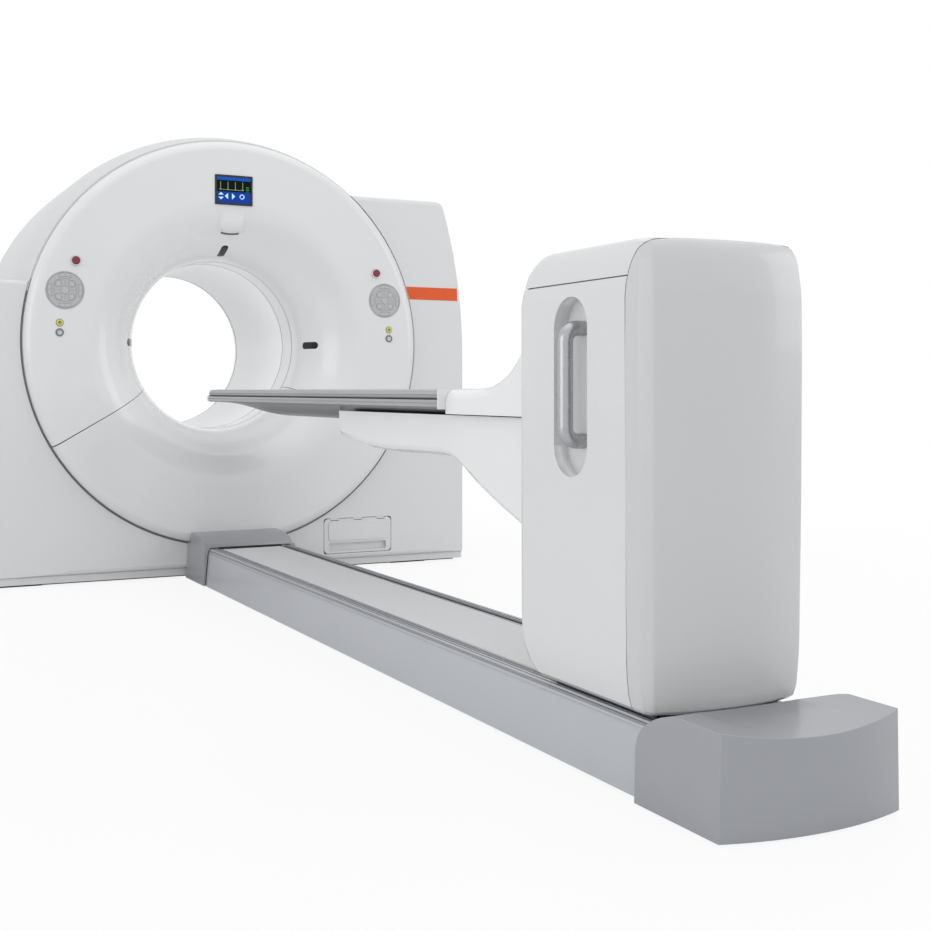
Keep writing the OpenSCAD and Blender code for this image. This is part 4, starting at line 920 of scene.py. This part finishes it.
# %% Pallet outline
PALLET_LOW, PALLET_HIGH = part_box("pallet")
MAT_LOW, MAT_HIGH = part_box("mattress")
TOP_Z, TIP_Y = PALLET_HIGH.z, PALLET_HIGH.y
TONGUE_HALF = 0.121
TONGUE_R = 0.045
WIDENING = 0.286            # half width gained per metre back from the tip
KEEL_RUN = 0.900            # the keel reaches its full depth this far back
TIP_DROP, NECK_DROP = 0.016, 0.010      # thickness at the tip, and what the neck adds to it
KEEL_DEEP = TOP_Z - PALLET_LOW.z - TIP_DROP - NECK_DROP
INSET = 0.004               # hull inside the outline; the side band covers the difference
RUN = 0.9983                # hull length as a share of the outline's


def pallet_half(back, inset=0.0):
    """Half width this far back from the tip."""
    width = min(PALLET_HIGH.x, TONGUE_HALF + WIDENING * back)
    if back < TONGUE_R:
        width += math.sqrt(TONGUE_R ** 2 - (TONGUE_R - back) ** 2) - TONGUE_R
    return width - inset


def keel_drop(back):
    """How far the keel hangs below the top, this far back from the tip."""
    deepening = ease((back - KEEL_RUN / 3) / (KEEL_RUN * 2 / 3))
    return TIP_DROP + NECK_DROP * min(1.0, back * 3 / KEEL_RUN) + KEEL_DEEP * deepening


def smooth_through(corners, steps):
    """A quadratic spline that leans on its corners and passes through its two ends."""
    made = [corners[0]]
    for a, b, c in zip(corners, corners[1:], corners[2:]):
        start = tuple((p + q) / 2 for p, q in zip(a, b)) if a != corners[0] else a
        end = tuple((p + q) / 2 for p, q in zip(b, c)) if c != corners[-1] else c
        for t in (i / steps for i in range(1, steps + 1)):
            made.append(tuple((1 - t) ** 2 * p + 2 * t * (1 - t) * q + t * t * w
                              for p, q, w in zip(start, b, end)))
    return made


backs = [0.0, 0.002, 0.006, 0.012, 0.02, 0.03, 0.04] + [0.05 + 2.44 * i / 110 for i in range(111)]

# %% [markdown]
# The hull is carbon fibre under a dark lacquer. Each ring drops straight down behind the side
# band and then curves in to the keel. Lofting rings keeps the curve clean along the whole
# length, where cutting a block to shape would leave facets to smooth.

# %% Pallet hull
SIDE_BAND = 0.020           # how far the hull's side drops straight, behind the side band


def hull_ring(back):
    """Points round the hull in X and Z, from the right top edge under the keel to the left."""
    half, drop = pallet_half(back, INSET), keel_drop(back)
    band = min(SIDE_BAND, drop * 0.75)
    side = [(half, -0.0005), (half, -band), (half * 0.97, -band - 0.003),
            (half * 0.75, -band - (drop - band) * 0.3), (half * 0.45, -drop), (0.0, -drop)]
    right = side[:2] + smooth_through(side[2:], 6)
    return right + [(-x, z) for x, z in right[-2::-1]]


hull = bmesh.new()
rings = [[hull.verts.new((x, TIP_Y - INSET - back * RUN, TOP_Z + z)) for x, z in hull_ring(back)]
         for back in backs]
for a, b in zip(rings, rings[1:]):
    for i in range(len(a)):
        j = (i + 1) % len(a)
        hull.faces.new((a[i], a[j], b[j], b[i]))
hull.faces.new(rings[0])
hull.faces.new(rings[-1])
pallet_body = body_for["pallet"]
hull_obj = finished("pallet_hull", mesh_from(hull, "pallet_hull"), HULL_GREY, pallet_body, 40)
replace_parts(hull_obj, "pallet")
print(f"hull {len(hull_obj.data.polygons)} faces, keel {keel_drop(1.5) * 1000:.1f} mm down")

# %% [markdown]
# Along the hull's edge runs a pale extruded band with a groove, where straps and supports
# clip on. It follows the outline round the tongue, so it is a profile swept along a path: two
# beads with a narrower core between them. The same recipe makes the mattress's piping and all
# the machine's seals.

# %% Recipe: a rounded bead swept along a path
def bead_recipe():
    g = Recipe("swept_bead", Width=("Float", 0.008), Height=("Float", 0.008),
               Fillet=("Float", 0.001), Rise=("Float", 0.0))
    path = g.node("GeometryNodeMeshToCurve", Mesh=g.given("Geometry"))
    upright = g.node("GeometryNodeSetCurveNormal", {"mode": "Z_UP"}, Curve=path)
    lifted = g.node("GeometryNodeSetPosition", Geometry=upright,
                    Offset=g.node("ShaderNodeCombineXYZ", Z=g.given("Rise")))
    outline = g.node("GeometryNodeCurvePrimitiveQuadrilateral", {"mode": "RECTANGLE"},
                     Width=g.given("Width"), Height=g.given("Height"))
    rounded = g.node("GeometryNodeFilletCurve", {"mode": "POLY"}, Curve=outline,
                     Radius=g.given("Fillet"), Count=3)
    return g.ends(g.node("GeometryNodeCurveToMesh", Curve=lifted, Profile_Curve=rounded,
                         Fill_Caps=True))


BEAD = bead_recipe()
print("bead recipe", len(BEAD.tree.nodes), "nodes")


def chain(points, closed=False):
    last = len(points) - 1
    edges = [(i, i + 1) for i in range(last)] + ([(last, 0)] if closed else [])
    return points_mesh(points, edges)


def bead(points, material, width, height, fillet=0.0006, rise=0.0, closed=False):
    return BEAD.run(chain(points, closed), material, Width=width, Height=height, Fillet=fillet,
                    Rise=rise)


def table_edge(inset, z):
    """Points round the pallet's outline, from its right root over the tongue to its left root."""
    side = [(pallet_half(b, inset), TIP_Y - inset - b * RUN, z) for b in backs]
    return side[::-1] + [(-x, y, w) for x, y, w in side]


# %% Side band of the pallet
# Width, height and rise above the pallet's top of the upper bead, the lower one and the core.
BAND_BEADS = ((0.008, 0.0085, -0.0050), (0.008, 0.0085, -0.0153), (0.004, 0.018, -0.0102))
side_band = bmesh.new()
for width, height, rise in BAND_BEADS:
    side_band.from_mesh(bead(table_edge(INSET, TOP_Z), RAIL_WHITE, width, height, 0.0012, rise))
side_band = finished("pallet_side_band", mesh_from(side_band, "pallet_side_band"), RAIL_WHITE,
                     pallet_body, 50)
reach = max(v.co.x for v in side_band.data.vertices)
print("side band reaches", round(reach, 4), "of", round(PALLET_HIGH.x, 4))

# %% [markdown]
# The mattress is foam in coated cloth. It starts as a slab a little smaller than the real
# thing, with evenly spaced quads and rounded edges. A Cloth simulation with some pressure
# then swells it until the cloth is taut, while the underside stays flat on the pallet. How far
# a point may go is capped, so the mattress stays in its place.

# %% Levels of the mattress
ROWS, COLUMNS = 216, 34
MAT_LEN = MAT_HIGH.y - MAT_LOW.y
# Height above the pallet and inset from the outline, from the underside to the top face.
LEVELS = [(0.0, 0.010), (0.0015, 0.0065), (0.005, 0.0042), (0.0085, 0.0036), (0.0125, 0.0034),
          (0.0165, 0.0036), (0.020, 0.0046), (0.0228, 0.0075), (0.0238, 0.0125)]
SIDE_GAP = 0.0015           # room on both sides for the cloth to swell into
PIPED = 4                   # the level that the piping follows
last = len(LEVELS) - 1


def mat_grid(row, column, level):
    z, inset = LEVELS[level]
    back = inset + (MAT_LEN - 2 * inset) * row / ROWS
    half = pallet_half(max(0.0, back - inset), inset + SIDE_GAP)
    return (half * (2 * column / COLUMNS - 1), MAT_HIGH.y - back, MAT_LOW.z + z)


# %% Slab mesh
slab = bmesh.new()
grids = {level: [[slab.verts.new(mat_grid(i, j, level)) for j in range(COLUMNS + 1)]
                 for i in range(ROWS + 1)] for level in (0, last)}
for level, grid in grids.items():
    for i in range(ROWS):
        for j in range(COLUMNS):
            face = (grid[i][j], grid[i][j + 1], grid[i + 1][j + 1], grid[i + 1][j])
            slab.faces.new(face if level else face[::-1])
rim = ([(0, j) for j in range(COLUMNS)] + [(i, COLUMNS) for i in range(ROWS)]
       + [(ROWS, j) for j in range(COLUMNS, 0, -1)] + [(i, 0) for i in range(ROWS, 0, -1)])
walls = [[grids[0][i][j] for i, j in rim]]
for level in range(1, last):
    walls.append([slab.verts.new(mat_grid(i, j, level)) for i, j in rim])
walls.append([grids[last][i][j] for i, j in rim])
for a, b in zip(walls, walls[1:]):
    for k in range(len(rim)):
        m = (k + 1) % len(rim)
        slab.faces.new((a[k], a[m], b[m], b[k]))
slab.verts.index_update()
piped_row = [v.index for v in walls[PIPED]]
stitched_row = [v.index for v in walls[-2]]
mat_mesh = mesh_from(slab, "mattress_pad")
print("slab", len(mat_mesh.vertices), "points")


# %% [markdown]
# Air pressure inside stands for the foam's push. Gravity is off, because the mattress lies on
# the pallet and only its cover moves, and the underside is held. A cover with nothing but air
# in it balloons, while foam lets the real one give only a few millimetres. So twenty frames
# give each point its way, which is then cut back to a cap.

# %% Swell it with cloth
SWELL_CAP = 0.0034
HELD_UP_TO = 0.0012         # points this close to the underside stay where they are


def swollen(mesh, floor_z, cap, frames=20):
    obj = placed("swelling", mesh)
    scene = bpy.context.scene
    start = [v.co.copy() for v in mesh.vertices]
    held = obj.vertex_groups.new(name="underside")
    low = [v.index for v in mesh.vertices if v.co.z < floor_z + HELD_UP_TO]
    held.add(low, 1.0, "REPLACE")
    cloth = obj.modifiers.new("cloth", "CLOTH").settings
    cloth.use_pressure = True
    cloth.uniform_pressure_force = 4.0
    cloth.vertex_group_mass = "underside"
    cloth.effector_weights.gravity = 0.0
    cloth.quality = 4
    cloth.tension_stiffness = 12.0
    cloth.compression_stiffness = 12.0
    for frame_number in range(1, frames + 1):
        scene.frame_set(frame_number)
    made = applied(obj)
    scene.frame_set(1)
    bpy.data.objects.remove(obj)
    furthest = 0.0
    for vertex, place in zip(made.vertices, start):
        move = vertex.co - place
        furthest = max(furthest, move.length)
        if move.length > cap:
            move *= cap / move.length
        vertex.co = place + move
        vertex.co.z = max(vertex.co.z, floor_z)
    print("cloth moved a point", round(furthest * 1000, 1), "mm at most, kept to", cap * 1000)
    return made


mat_mesh = swollen(mat_mesh, MAT_LOW.z, SWELL_CAP)

# %% [markdown]
# Foam is never quite even, so the upper side gets a ripple of under a millimetre. Subdivision
# then smooths the cloth between its quads. It stays on the piece as a live modifier.

# %% Finish the mattress
RIPPLE = 0.0009
for vertex in mat_mesh.vertices:
    above = vertex.co.z - MAT_LOW.z
    if above > 0.001:
        ripple = noise.noise(Vector((vertex.co.x * 9.0, vertex.co.y * 6.0, 3.0)))
        vertex.co.z += RIPPLE * ripple * min(1.0, above / 0.02)
piping_path, stitch_path = ([mat_mesh.vertices[i].co.copy() for i in row]
                            for row in (piped_row, stitched_row))
mattress = placed("mattress_pad", mat_mesh)
wear(mat_mesh, VINYL)
mat_mesh.shade_smooth()
soften = mattress.modifiers.new("soften", "SUBSURF")
soften.levels = soften.render_levels = 1
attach(mattress, body_for["mattress"])
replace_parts(mattress, "mattress")
print("mattress", len(mat_mesh.polygons), "faces before subdivision")

# %% [markdown]
# A welt of piping closes the mattress half way up its side, and a row of stitches follows it
# along the upper edge. The stitches are instances spread at an even pitch along the path and
# turned to lie along it.

# %% Recipe: stitches along a path
def stitch_recipe():
    g = Recipe("stitch_row", Pitch=("Float", 0.008), Length=("Float", 0.005),
               Thread=("Float", 0.0008))
    path = g.node("GeometryNodeMeshToCurve", Mesh=g.given("Geometry"))
    spread = g.node("GeometryNodeResampleCurve", {"mode": "LENGTH"}, Curve=path,
                    Length=g.given("Pitch"))
    along = g.node("GeometryNodeInputTangent")
    lie = g.node("FunctionNodeAlignRotationToVector", {"axis": "Z"}, Vector=along)
    stitch = g.node("GeometryNodeMeshCylinder", Vertices=6, Radius=g.given("Thread"),
                    Depth=g.given("Length"))
    return g.ends(g.node("GeometryNodeInstanceOnPoints", Points=spread, Instance=stitch,
                         Rotation=lie))


piping = bead(piping_path, THREAD, 0.0026, 0.0026, 0.0012, closed=True)
piping = finished("mattress_piping", piping, THREAD, body_for["mattress"], 60)
stitches = stitch_recipe().run(chain(stitch_path, True), THREAD, Pitch=0.009, Length=0.0055,
                               Thread=0.0007)
stitches = finished("mattress_stitches", stitches, THREAD, body_for["mattress"], 60)
print("piping", len(piping.data.polygons), "stitches", len(stitches.data.polygons), "faces")

# %% [markdown]
# ## Skins over the CAD pieces
# Where the CAD outline is fine enough, a piece only needs its skin. Panels that were pressed or
# moulded in a tool get a bevel as wide as the real radius; turned and swept pieces get none,
# because their outline is already round.

# %% Smooth skins
# Names, smoothing angle in degrees, bevel width in metres.
SKINS = [
    ("drum_cover", 20, 0),
    ("front_panel_right front_panel_left", 34, 0.0008),
    ("side_cover_right side_cover_left", 30, 0.0008),
    ("rear_panels", 34, 0.0008),
    ("access_hatch", 34, 0.0012),
    ("rear_cover", 24, 0),
    ("bore_ring tunnel_liner", 30, 0),
    ("end_cap_far", 30, 0.0015),
    ("end_cap_near", 30, 0.0034),
    ("estop_collars", 34, 0.0005),
    ("estop_left estop_right", 34, 0.0008),
    ("status_rings", 34, 0.0005),
    ("warning_lamps", 34, 0.0006),
    ("grab_handle_left grab_handle_right", 40, 0),
    ("lower_arm_cover upper_arm_cover", 26, 0),
    ("side_rail_left side_rail_right", 30, 0.0006),
    ("cover_band", 30, 0),
    ("control_pads", 30, 0.0006),
]
for names, smooth, bevel in SKINS:
    for node in names.split():
        skin(node, welded(node), smooth, bevel)

# %% [markdown]
# The pedestal's rear corners are not round but cut: a flat facet runs down between two soft
# edges. The CAD outline has an arc of five points there. Pushing each point out until it
# reaches the polygon that touches the arc turns the arc into a facet, and only the edges of
# that facet carry a bevel weight.

# %% Pedestal skins with faceted corners
CORNER_R = 0.052
TOUCHES = (180.0, 215.0, 250.0)     # where the polygon touches the arc, in degrees
CORNER_DEPTH = 0.10                 # the corners lie within this distance of the rear face
UPRIGHT = 0.4                       # least sideways share of a normal on an upright wall
PUSHED = 0.0015                     # a point moved further than this is a corner of the facet


def faceted(mesh):
    work = bmesh.new()
    work.from_mesh(mesh)
    work.normal_update()
    weight = work.edges.layers.float.new("bevel_weight_edge")
    moved = {}
    for vertex in work.verts:
        out = Vector((vertex.normal.x, vertex.normal.y, 0.0))
        if vertex.co.y > PED_LOW.y + CORNER_DEPTH or out.length < UPRIGHT or out.y > 0:
            continue
        turn = math.degrees(math.atan2(out.y, -abs(out.x))) % 360
        if TOUCHES[0] < turn < TOUCHES[-1]:
            aside = min(abs(turn - t) for t in TOUCHES)
            moved[vertex] = out.normalized() * CORNER_R * (1 / math.cos(math.radians(aside)) - 1)
    for vertex, move in moved.items():
        vertex.co += move
    for edge in work.edges:
        far = all(moved.get(v, Vector()).length > PUSHED for v in edge.verts)
        along = edge.verts[0].co - edge.verts[1].co
        if far and along.length and abs(along.z) > 0.8 * along.length:
            edge[weight] = 1.0
    work.to_mesh(mesh)
    work.free()
    return mesh


for node, flat in (("pedestal_shell", 1.6), ("pedestal_rear_cover", 0.4),
                   ("pedestal_top_cap", 0.4)):
    skin(node, faceted(welded(node, flat)), 44, 0.006, 3, "WEIGHT")

# %% [markdown]
# ## Seals, trims and fasteners
# The rail is a stepped extrusion. Along its whole length run a bright edge on its top, a thin
# grey line, and a black strip that is painted shade for a dark groove; a grey strip on the step
# is painted shade, and a bright line on the side's edge is a painted highlight. The cover band
# lies between two grey strips, painted shade for the channels beside it. Where the rail runs
# into the far cap there is a silver lip, with black strips behind it that are painted shade for
# the gap. All the lines are beads swept along short paths, one row of the table for each.

# %% Rail lines and cap seals
def strip(name, points, material, body, *sizes):
    """A bead as a finished piece; sizes are its width, height and fillet."""
    return finished(name, bead(points, material, *sizes), material, body, 50)


rail_low, rail_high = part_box("side_rail_left")
band_low, band_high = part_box("cover_band")
mouth = rail_high.y - 0.0035            # the far cap's mouth
# Distance from the rail's middle, height, how far short of the rail's end it stops, finish,
# width, height and fillet of the bead.
# The grey strips by the band and on the step, and the black one for the groove, are painted shade;
# the bright one on the side's edge is a painted highlight.
RAIL_LINES = {
    "band_edge": (0.1325, band_high.z, 0.002, SHADE_GREY, 0.0100, 0.0010, 0.0003),
    "rail_step": (0.1812, 0.1525, 0.006, SHADE_GREY, 0.0060, 0.0060, 0.0010),
    "rail_bright": (0.1858, 0.1425, 0.006, ALUMINIUM, 0.0030, 0.0026, 0.0006),
    "rail_groove": (0.1625, rail_high.z, 0.002, SHADE_BLACK, 0.0030, 0.0008, 0.0002),
    "rail_line": (0.1748, rail_high.z, 0.002, SEAL_GREY, 0.0022, 0.0008, 0.0002),
    "rail_edge": (0.1690, rail_high.z + 0.0002, 0.002, ALUMINIUM, 0.0055, 0.0016, 0.0006),
}
# The lip's section and the path of the black strip behind it, painted shade for the gap, as
# distance from the rail's middle and height.
LIP_FROM, LIP_TO = mouth - 0.001, mouth + 0.0032
CAP_LIP = [(0.2050, 0.006), (0.2035, 0.146), (0.1965, 0.1665), (0.1500, 0.1665),
           (0.1500, 0.1630), (0.1778, 0.1630), (0.1848, 0.1530), (0.1888, 0.1400),
           (0.2006, 0.006)]
CAP_SHADE_PATH = [(0.1995, 0.008), (0.1876, 0.1390), (0.1838, 0.1512), (0.1774, 0.1618),
            (0.1380, 0.1618)]
# Black strips at the cap's mouth and along its sides are painted shade for the gap.
strip("cap_mouth_seal", [(x, LIP_FROM, band_high.z + 0.0034) for x in (band_low.x, band_high.x)],
      SHADE_BLACK, "gantry", 0.008, 0.006)
for side, label in ((-1, "left"), (1, "right")):
    lip = bmesh.new()
    prism(lip, [(side * x, z) for x, z in CAP_LIP], LIP_FROM, LIP_TO)
    finished("cap_lip_" + label, mesh_from(lip, "cap_lip"), SILVER_FAR, "gantry", 40)
    strip("cap_side_seal_" + label, [(side * x, mouth - 0.0016, z) for x, z in CAP_SHADE_PATH],
          SHADE_BLACK, "gantry", 0.0030, 0.0030)
    for name, (out, z, short, material, *sizes) in RAIL_LINES.items():
        ends = [(side * out, y, z) for y in (rail_low.y + 0.002, rail_high.y - short)]
        strip(f"{name}_{label}", ends, material, "gantry", *sizes)
print("rail lines", len(RAIL_LINES), "on each side")

# %% [markdown]
# The disc sits in the wings with a pale rubber gasket round it, and above the wings' shoulders
# a thin bead closes the joint to the drum. In the bore a grey bead marks each place where two
# liners meet. These follow circles, so the outline recipe turns them as it turned the covers.

# %% Round seals
# The angle at which each wing's top meets the disc; seals stop a little to either side of it.
right_top, left_top = (math.degrees(math.asin((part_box(n)[1].z - AXIS_Z) / DISC_R))
                       for n in ("front_panel_right", "front_panel_left"))
CLEAR = 0.6
below = (180 + CLEAR - left_top, 360 - CLEAR + right_top)
above = (right_top + CLEAR, 180 - CLEAR - left_top)
# Name, depth behind the wing plane, reach beyond the disc, thickness, span, steps and finish.
ROUND_SEALS = [
    ("disc_gasket_front", 0.010, 0.0087, 0.006, below, 220, GASKET),
    ("disc_gasket_rear", 1.254, 0.0087, 0.006, below, 220, GASKET),
    ("drum_bead_front", -0.0010, 0.0050, 0.0028, above, 140, DRUM_WHITE),
    ("drum_bead_rear", 1.2682, 0.0050, 0.0028, above, 140, DRUM_WHITE),
]
for name, depth, reach, thick, span, steps, material in ROUND_SEALS:
    inner, outer = DISC_R + SEAT, DISC_R + reach
    wall = [(inner, depth), (outer, depth), (outer, depth + thick), (inner, depth + thick)]
    finished(name, turned(wall, *span, steps, material), material, "gantry", 40)
BEAD_SECTION = [(-0.0004, -0.0018), (-0.0004, 0.0018), (0.0, 0.0022), (0.0008, 0.0006),
                (0.0008, -0.0006), (0.0, -0.0022)]
for label, node in (("front", "bore_ring"), ("middle", "tunnel_liner"), ("rear", "rear_cover")):
    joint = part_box(node)[0].y - WING_Y
    section = [(BORE_R + out, joint + along) for out, along in BEAD_SECTION]
    finished("bore_seal_" + label, turned(section, 0.0, 360.0, 240, SEAL_GREY), SEAL_GREY,
             "gantry", 40)
print("gasket from {:.1f} to {:.1f} degrees".format(*below))

# %% [markdown]
# A pale skirt stands under the wing covers, set back from their edge, and hides the anchor feet.
# A black strip runs under the mattress where it meets the pallet, a painted shade for the gap
# between them, and the pallet's outer end is closed by a white moulding.

# %% Skirt, painted shade under the mattress and end trim
plinth_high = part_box("plinth")[1]
SKIRT_MIDDLE, SKIRT_HEIGHT = 0.0269, 0.0310
skirt_x = plinth_high.x + 0.036
skirt_front, skirt_back = WING_Y + 0.022, plinth_high.y + 0.018
corners = [(-skirt_x, skirt_front), (skirt_x, skirt_front), (skirt_x, skirt_back),
           (-skirt_x, skirt_back)]
skirt = bead([(x, y, SKIRT_MIDDLE) for x, y in corners], SATIN_WHITE, 0.004, SKIRT_HEIGHT, 0.001,
             closed=True)
finished("wing_skirt", skirt, SATIN_WHITE, "gantry", 50)
# A black strip under the mattress's edge: painted shade for the gap.
strip("mattress_seam", table_edge(0.0085, TOP_Z + 0.0016), SHADE_BLACK, pallet_body, 0.0045,
      0.0032)
TRIM_THICK, TRIM_R = 0.005, 0.0035
block = bmesh.new()
half = PALLET_HIGH.x - 0.0005
trim_back = PALLET_LOW.y - 0.0002
prism(block, rounded_outline(-half, half, TOP_Z - 0.026, MAT_HIGH.z - 0.002, TRIM_R),
      trim_back - TRIM_THICK, trim_back)
finished("pallet_end_trim", mesh_from(block, "pallet_end_trim"), ARM_WHITE_PAINTED_LIGHT, pallet_body, 40,
         0.0012, 3)
print("skirt", round(2 * skirt_x, 3), "wide, end trim", round(2 * half, 3))

# %% [markdown]
# The rear panels come off for service and are held by quarter-turn fasteners. One small head
# is modelled, a rim with a domed top and a bar to turn it by, and it is placed as instances on
# a list of points.

# %% Recipe: fasteners on points
def fastener_recipe():
    g = Recipe("fasteners", Head=("Float", 0.007), Height=("Float", 0.0022))
    head, height = g.given("Head"), g.given("Height")

    def raised(part, share):
        lift = g.node("ShaderNodeCombineXYZ", Z=height * share)
        return g.node("GeometryNodeTransform", Geometry=part, Translation=lift)

    rim = g.node("GeometryNodeMeshCylinder", Vertices=28, Radius=head, Depth=height)
    dome = g.node("GeometryNodeMeshCone", Vertices=28, Radius_Top=head * 0.86,
                  Radius_Bottom=head, Depth=height * 0.5)
    bar = g.node("GeometryNodeMeshCube",
                 Size=g.node("ShaderNodeCombineXYZ", X=head * 1.1, Y=head * 0.22, Z=height * 0.3))
    whole = g.node("GeometryNodeJoinGeometry", Geometry=[rim, raised(dome, 0.5), raised(bar, 1.05)])
    facing = g.node("ShaderNodeCombineXYZ", X=-math.pi / 2)
    return g.ends(g.node("GeometryNodeInstanceOnPoints", Points=g.given("Geometry"),
                         Instance=whole, Rotation=facing))


# %% [markdown]
# Four fasteners hold each panel's outer edge, one more the higher shoulder, and four the foot.

# %% Fasteners of the rear covers
back_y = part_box("rear_panels")[1].y + 0.0004
places = [(x, z) for x in (-1.12, 1.12) for z in (0.11, 0.48, 0.85, 1.22)]
places += [(1.12, 1.60), (-0.62, 0.075), (0.62, 0.075), (-0.2, 0.075), (0.2, 0.075)]
heads = fastener_recipe().run(points_mesh([(x, back_y, z) for x, z in places]), ALUMINIUM,
                              Head=0.008, Height=0.0022)
finished("rear_fasteners", heads, ALUMINIUM, body_for["rear_panels"], 40)
print("fasteners", len(places))

# %% [markdown]
# ## Studio
# A pale floor that runs into white, a large soft light overhead, and softer ones beside it.
# For the camera the floor is mixed with plain white, nearly all of it close by and all of it
# further out. That leaves a faint shadow under the machine and shows no horizon.

# %% Floor
def floor_material():
    f = Finish("studio_floor", roughness=0.35)
    f.colour(f.blend(f.noise(0.6) * 0.5, grey(0.78), grey(0.82)))
    away = f.node("ShaderNodeVectorMath", {"operation": "LENGTH"}, out="Value", Vector=f.place())
    fade = f.node("ShaderNodeMapRange", {"clamp": True}, Value=away, From_Min=2.0, From_Max=5.0,
                  To_Min=0.88, To_Max=1.0)
    seen = f.node("ShaderNodeLightPath", out="Is Camera Ray")
    white = f.node("ShaderNodeEmission", Color=(1.0, 1.0, 1.0, 1.0))
    mix = f.node("ShaderNodeMixShader", Fac=fade * seen, i1=Wire(f, f.shader.outputs[0]), i2=white)
    f.tree.links.new(mix.socket, f.tree.nodes["Material Output"].inputs["Surface"])
    return f.material


disc = bmesh.new()
bmesh.ops.create_circle(disc, cap_ends=True, segments=96, radius=40.0)
floor = placed("studio_floor", mesh_from(disc, "studio_floor", outward=False))
floor.data.materials.append(floor_material())
print("floor", floor.dimensions.x, "m wide")

# %% [markdown]
# The world is an even grey-white for light and plain white for the camera, so the gloss has
# something to mirror and a colour renders about as it is written.

# %% World
world = bpy.data.worlds.new("studio")
bpy.context.scene.world = world
world.use_nodes = True
sky = Graph(world.node_tree)
even = sky.node("ShaderNodeBackground", Color=(0.975, 0.985, 1.0, 1.0), Strength=0.93)
plain = sky.node("ShaderNodeBackground", Color=(1.0, 1.0, 1.0, 1.0), Strength=1.0)
seen = sky.node("ShaderNodeLightPath", out="Is Camera Ray")
choose = sky.node("ShaderNodeMixShader", Fac=seen, i1=even, i2=plain)
sky.tree.links.new(choose.socket, sky.tree.nodes["World Output"].inputs["Surface"])
print("world nodes", len(sky.tree.nodes))

# %% [markdown]
# Three big soft boxes light the covers. Two small ones stand in the funnel and in the tunnel,
# which the big ones do not reach; the gloss does not mirror them, because a real bore shows no
# lamp. None of them is seen by the camera.

# %% Lamps
def softbox(name, place, aim, size, watts, mirrored=True):
    lamp = bpy.data.lights.new(name, "AREA")
    lamp.shape = "RECTANGLE"
    lamp.size, lamp.size_y = size
    lamp.energy = watts
    obj = placed(name, lamp)
    obj.location = place
    obj.rotation_euler = (Vector(aim) - Vector(place)).to_track_quat("-Z", "Y").to_euler()
    obj.visible_camera = False
    obj.visible_glossy = mirrored


softbox("overhead", (0.3, -0.8, 5.0), (0.2, -0.2, 0.6), (5.5, 6.5), 45)
softbox("from_left", (-6.4, -1.9, 2.1), (0.0, -0.9, 0.9), (4.6, 3.6), 50)
softbox("from_right", (4.6, -3.2, 2.4), (0.0, -0.6, 0.9), (2.4, 2.8), 25)
softbox("bore_fill", (0.0, 1.04, 1.12), (0.0, 1.9, 1.04), (0.46, 0.46), 0.6, mirrored=False)
softbox("tunnel_fill", (0.0, 1.42, 1.10), (0.0, 2.4, 1.04), (0.3, 0.3), 0.5, mirrored=False)
print("lamps", len(bpy.data.lights))

# %% [markdown]
# ## Camera
# It stands at seated eye height in front of the table's outer end and looks level, turned
# about 26 degrees, so upright edges stay upright. The shift slides the frame without tilting.

# %% Camera
camera = bpy.data.cameras.new("camera")
camera.sensor_width = 36.0
camera.lens = 49.66
camera.shift_x = 0.0348
camera.shift_y = -0.0809
eye = placed("camera", camera)
eye.location = (-1.7075, -4.3593, 0.8295)
eye.rotation_euler = (math.radians(90.0), 0.0, math.radians(-25.99))
bpy.context.scene.camera = eye
print("camera", round(eye.location.length, 2), "m from the origin")
bpy.context.scene.view_settings.view_transform = "Standard"
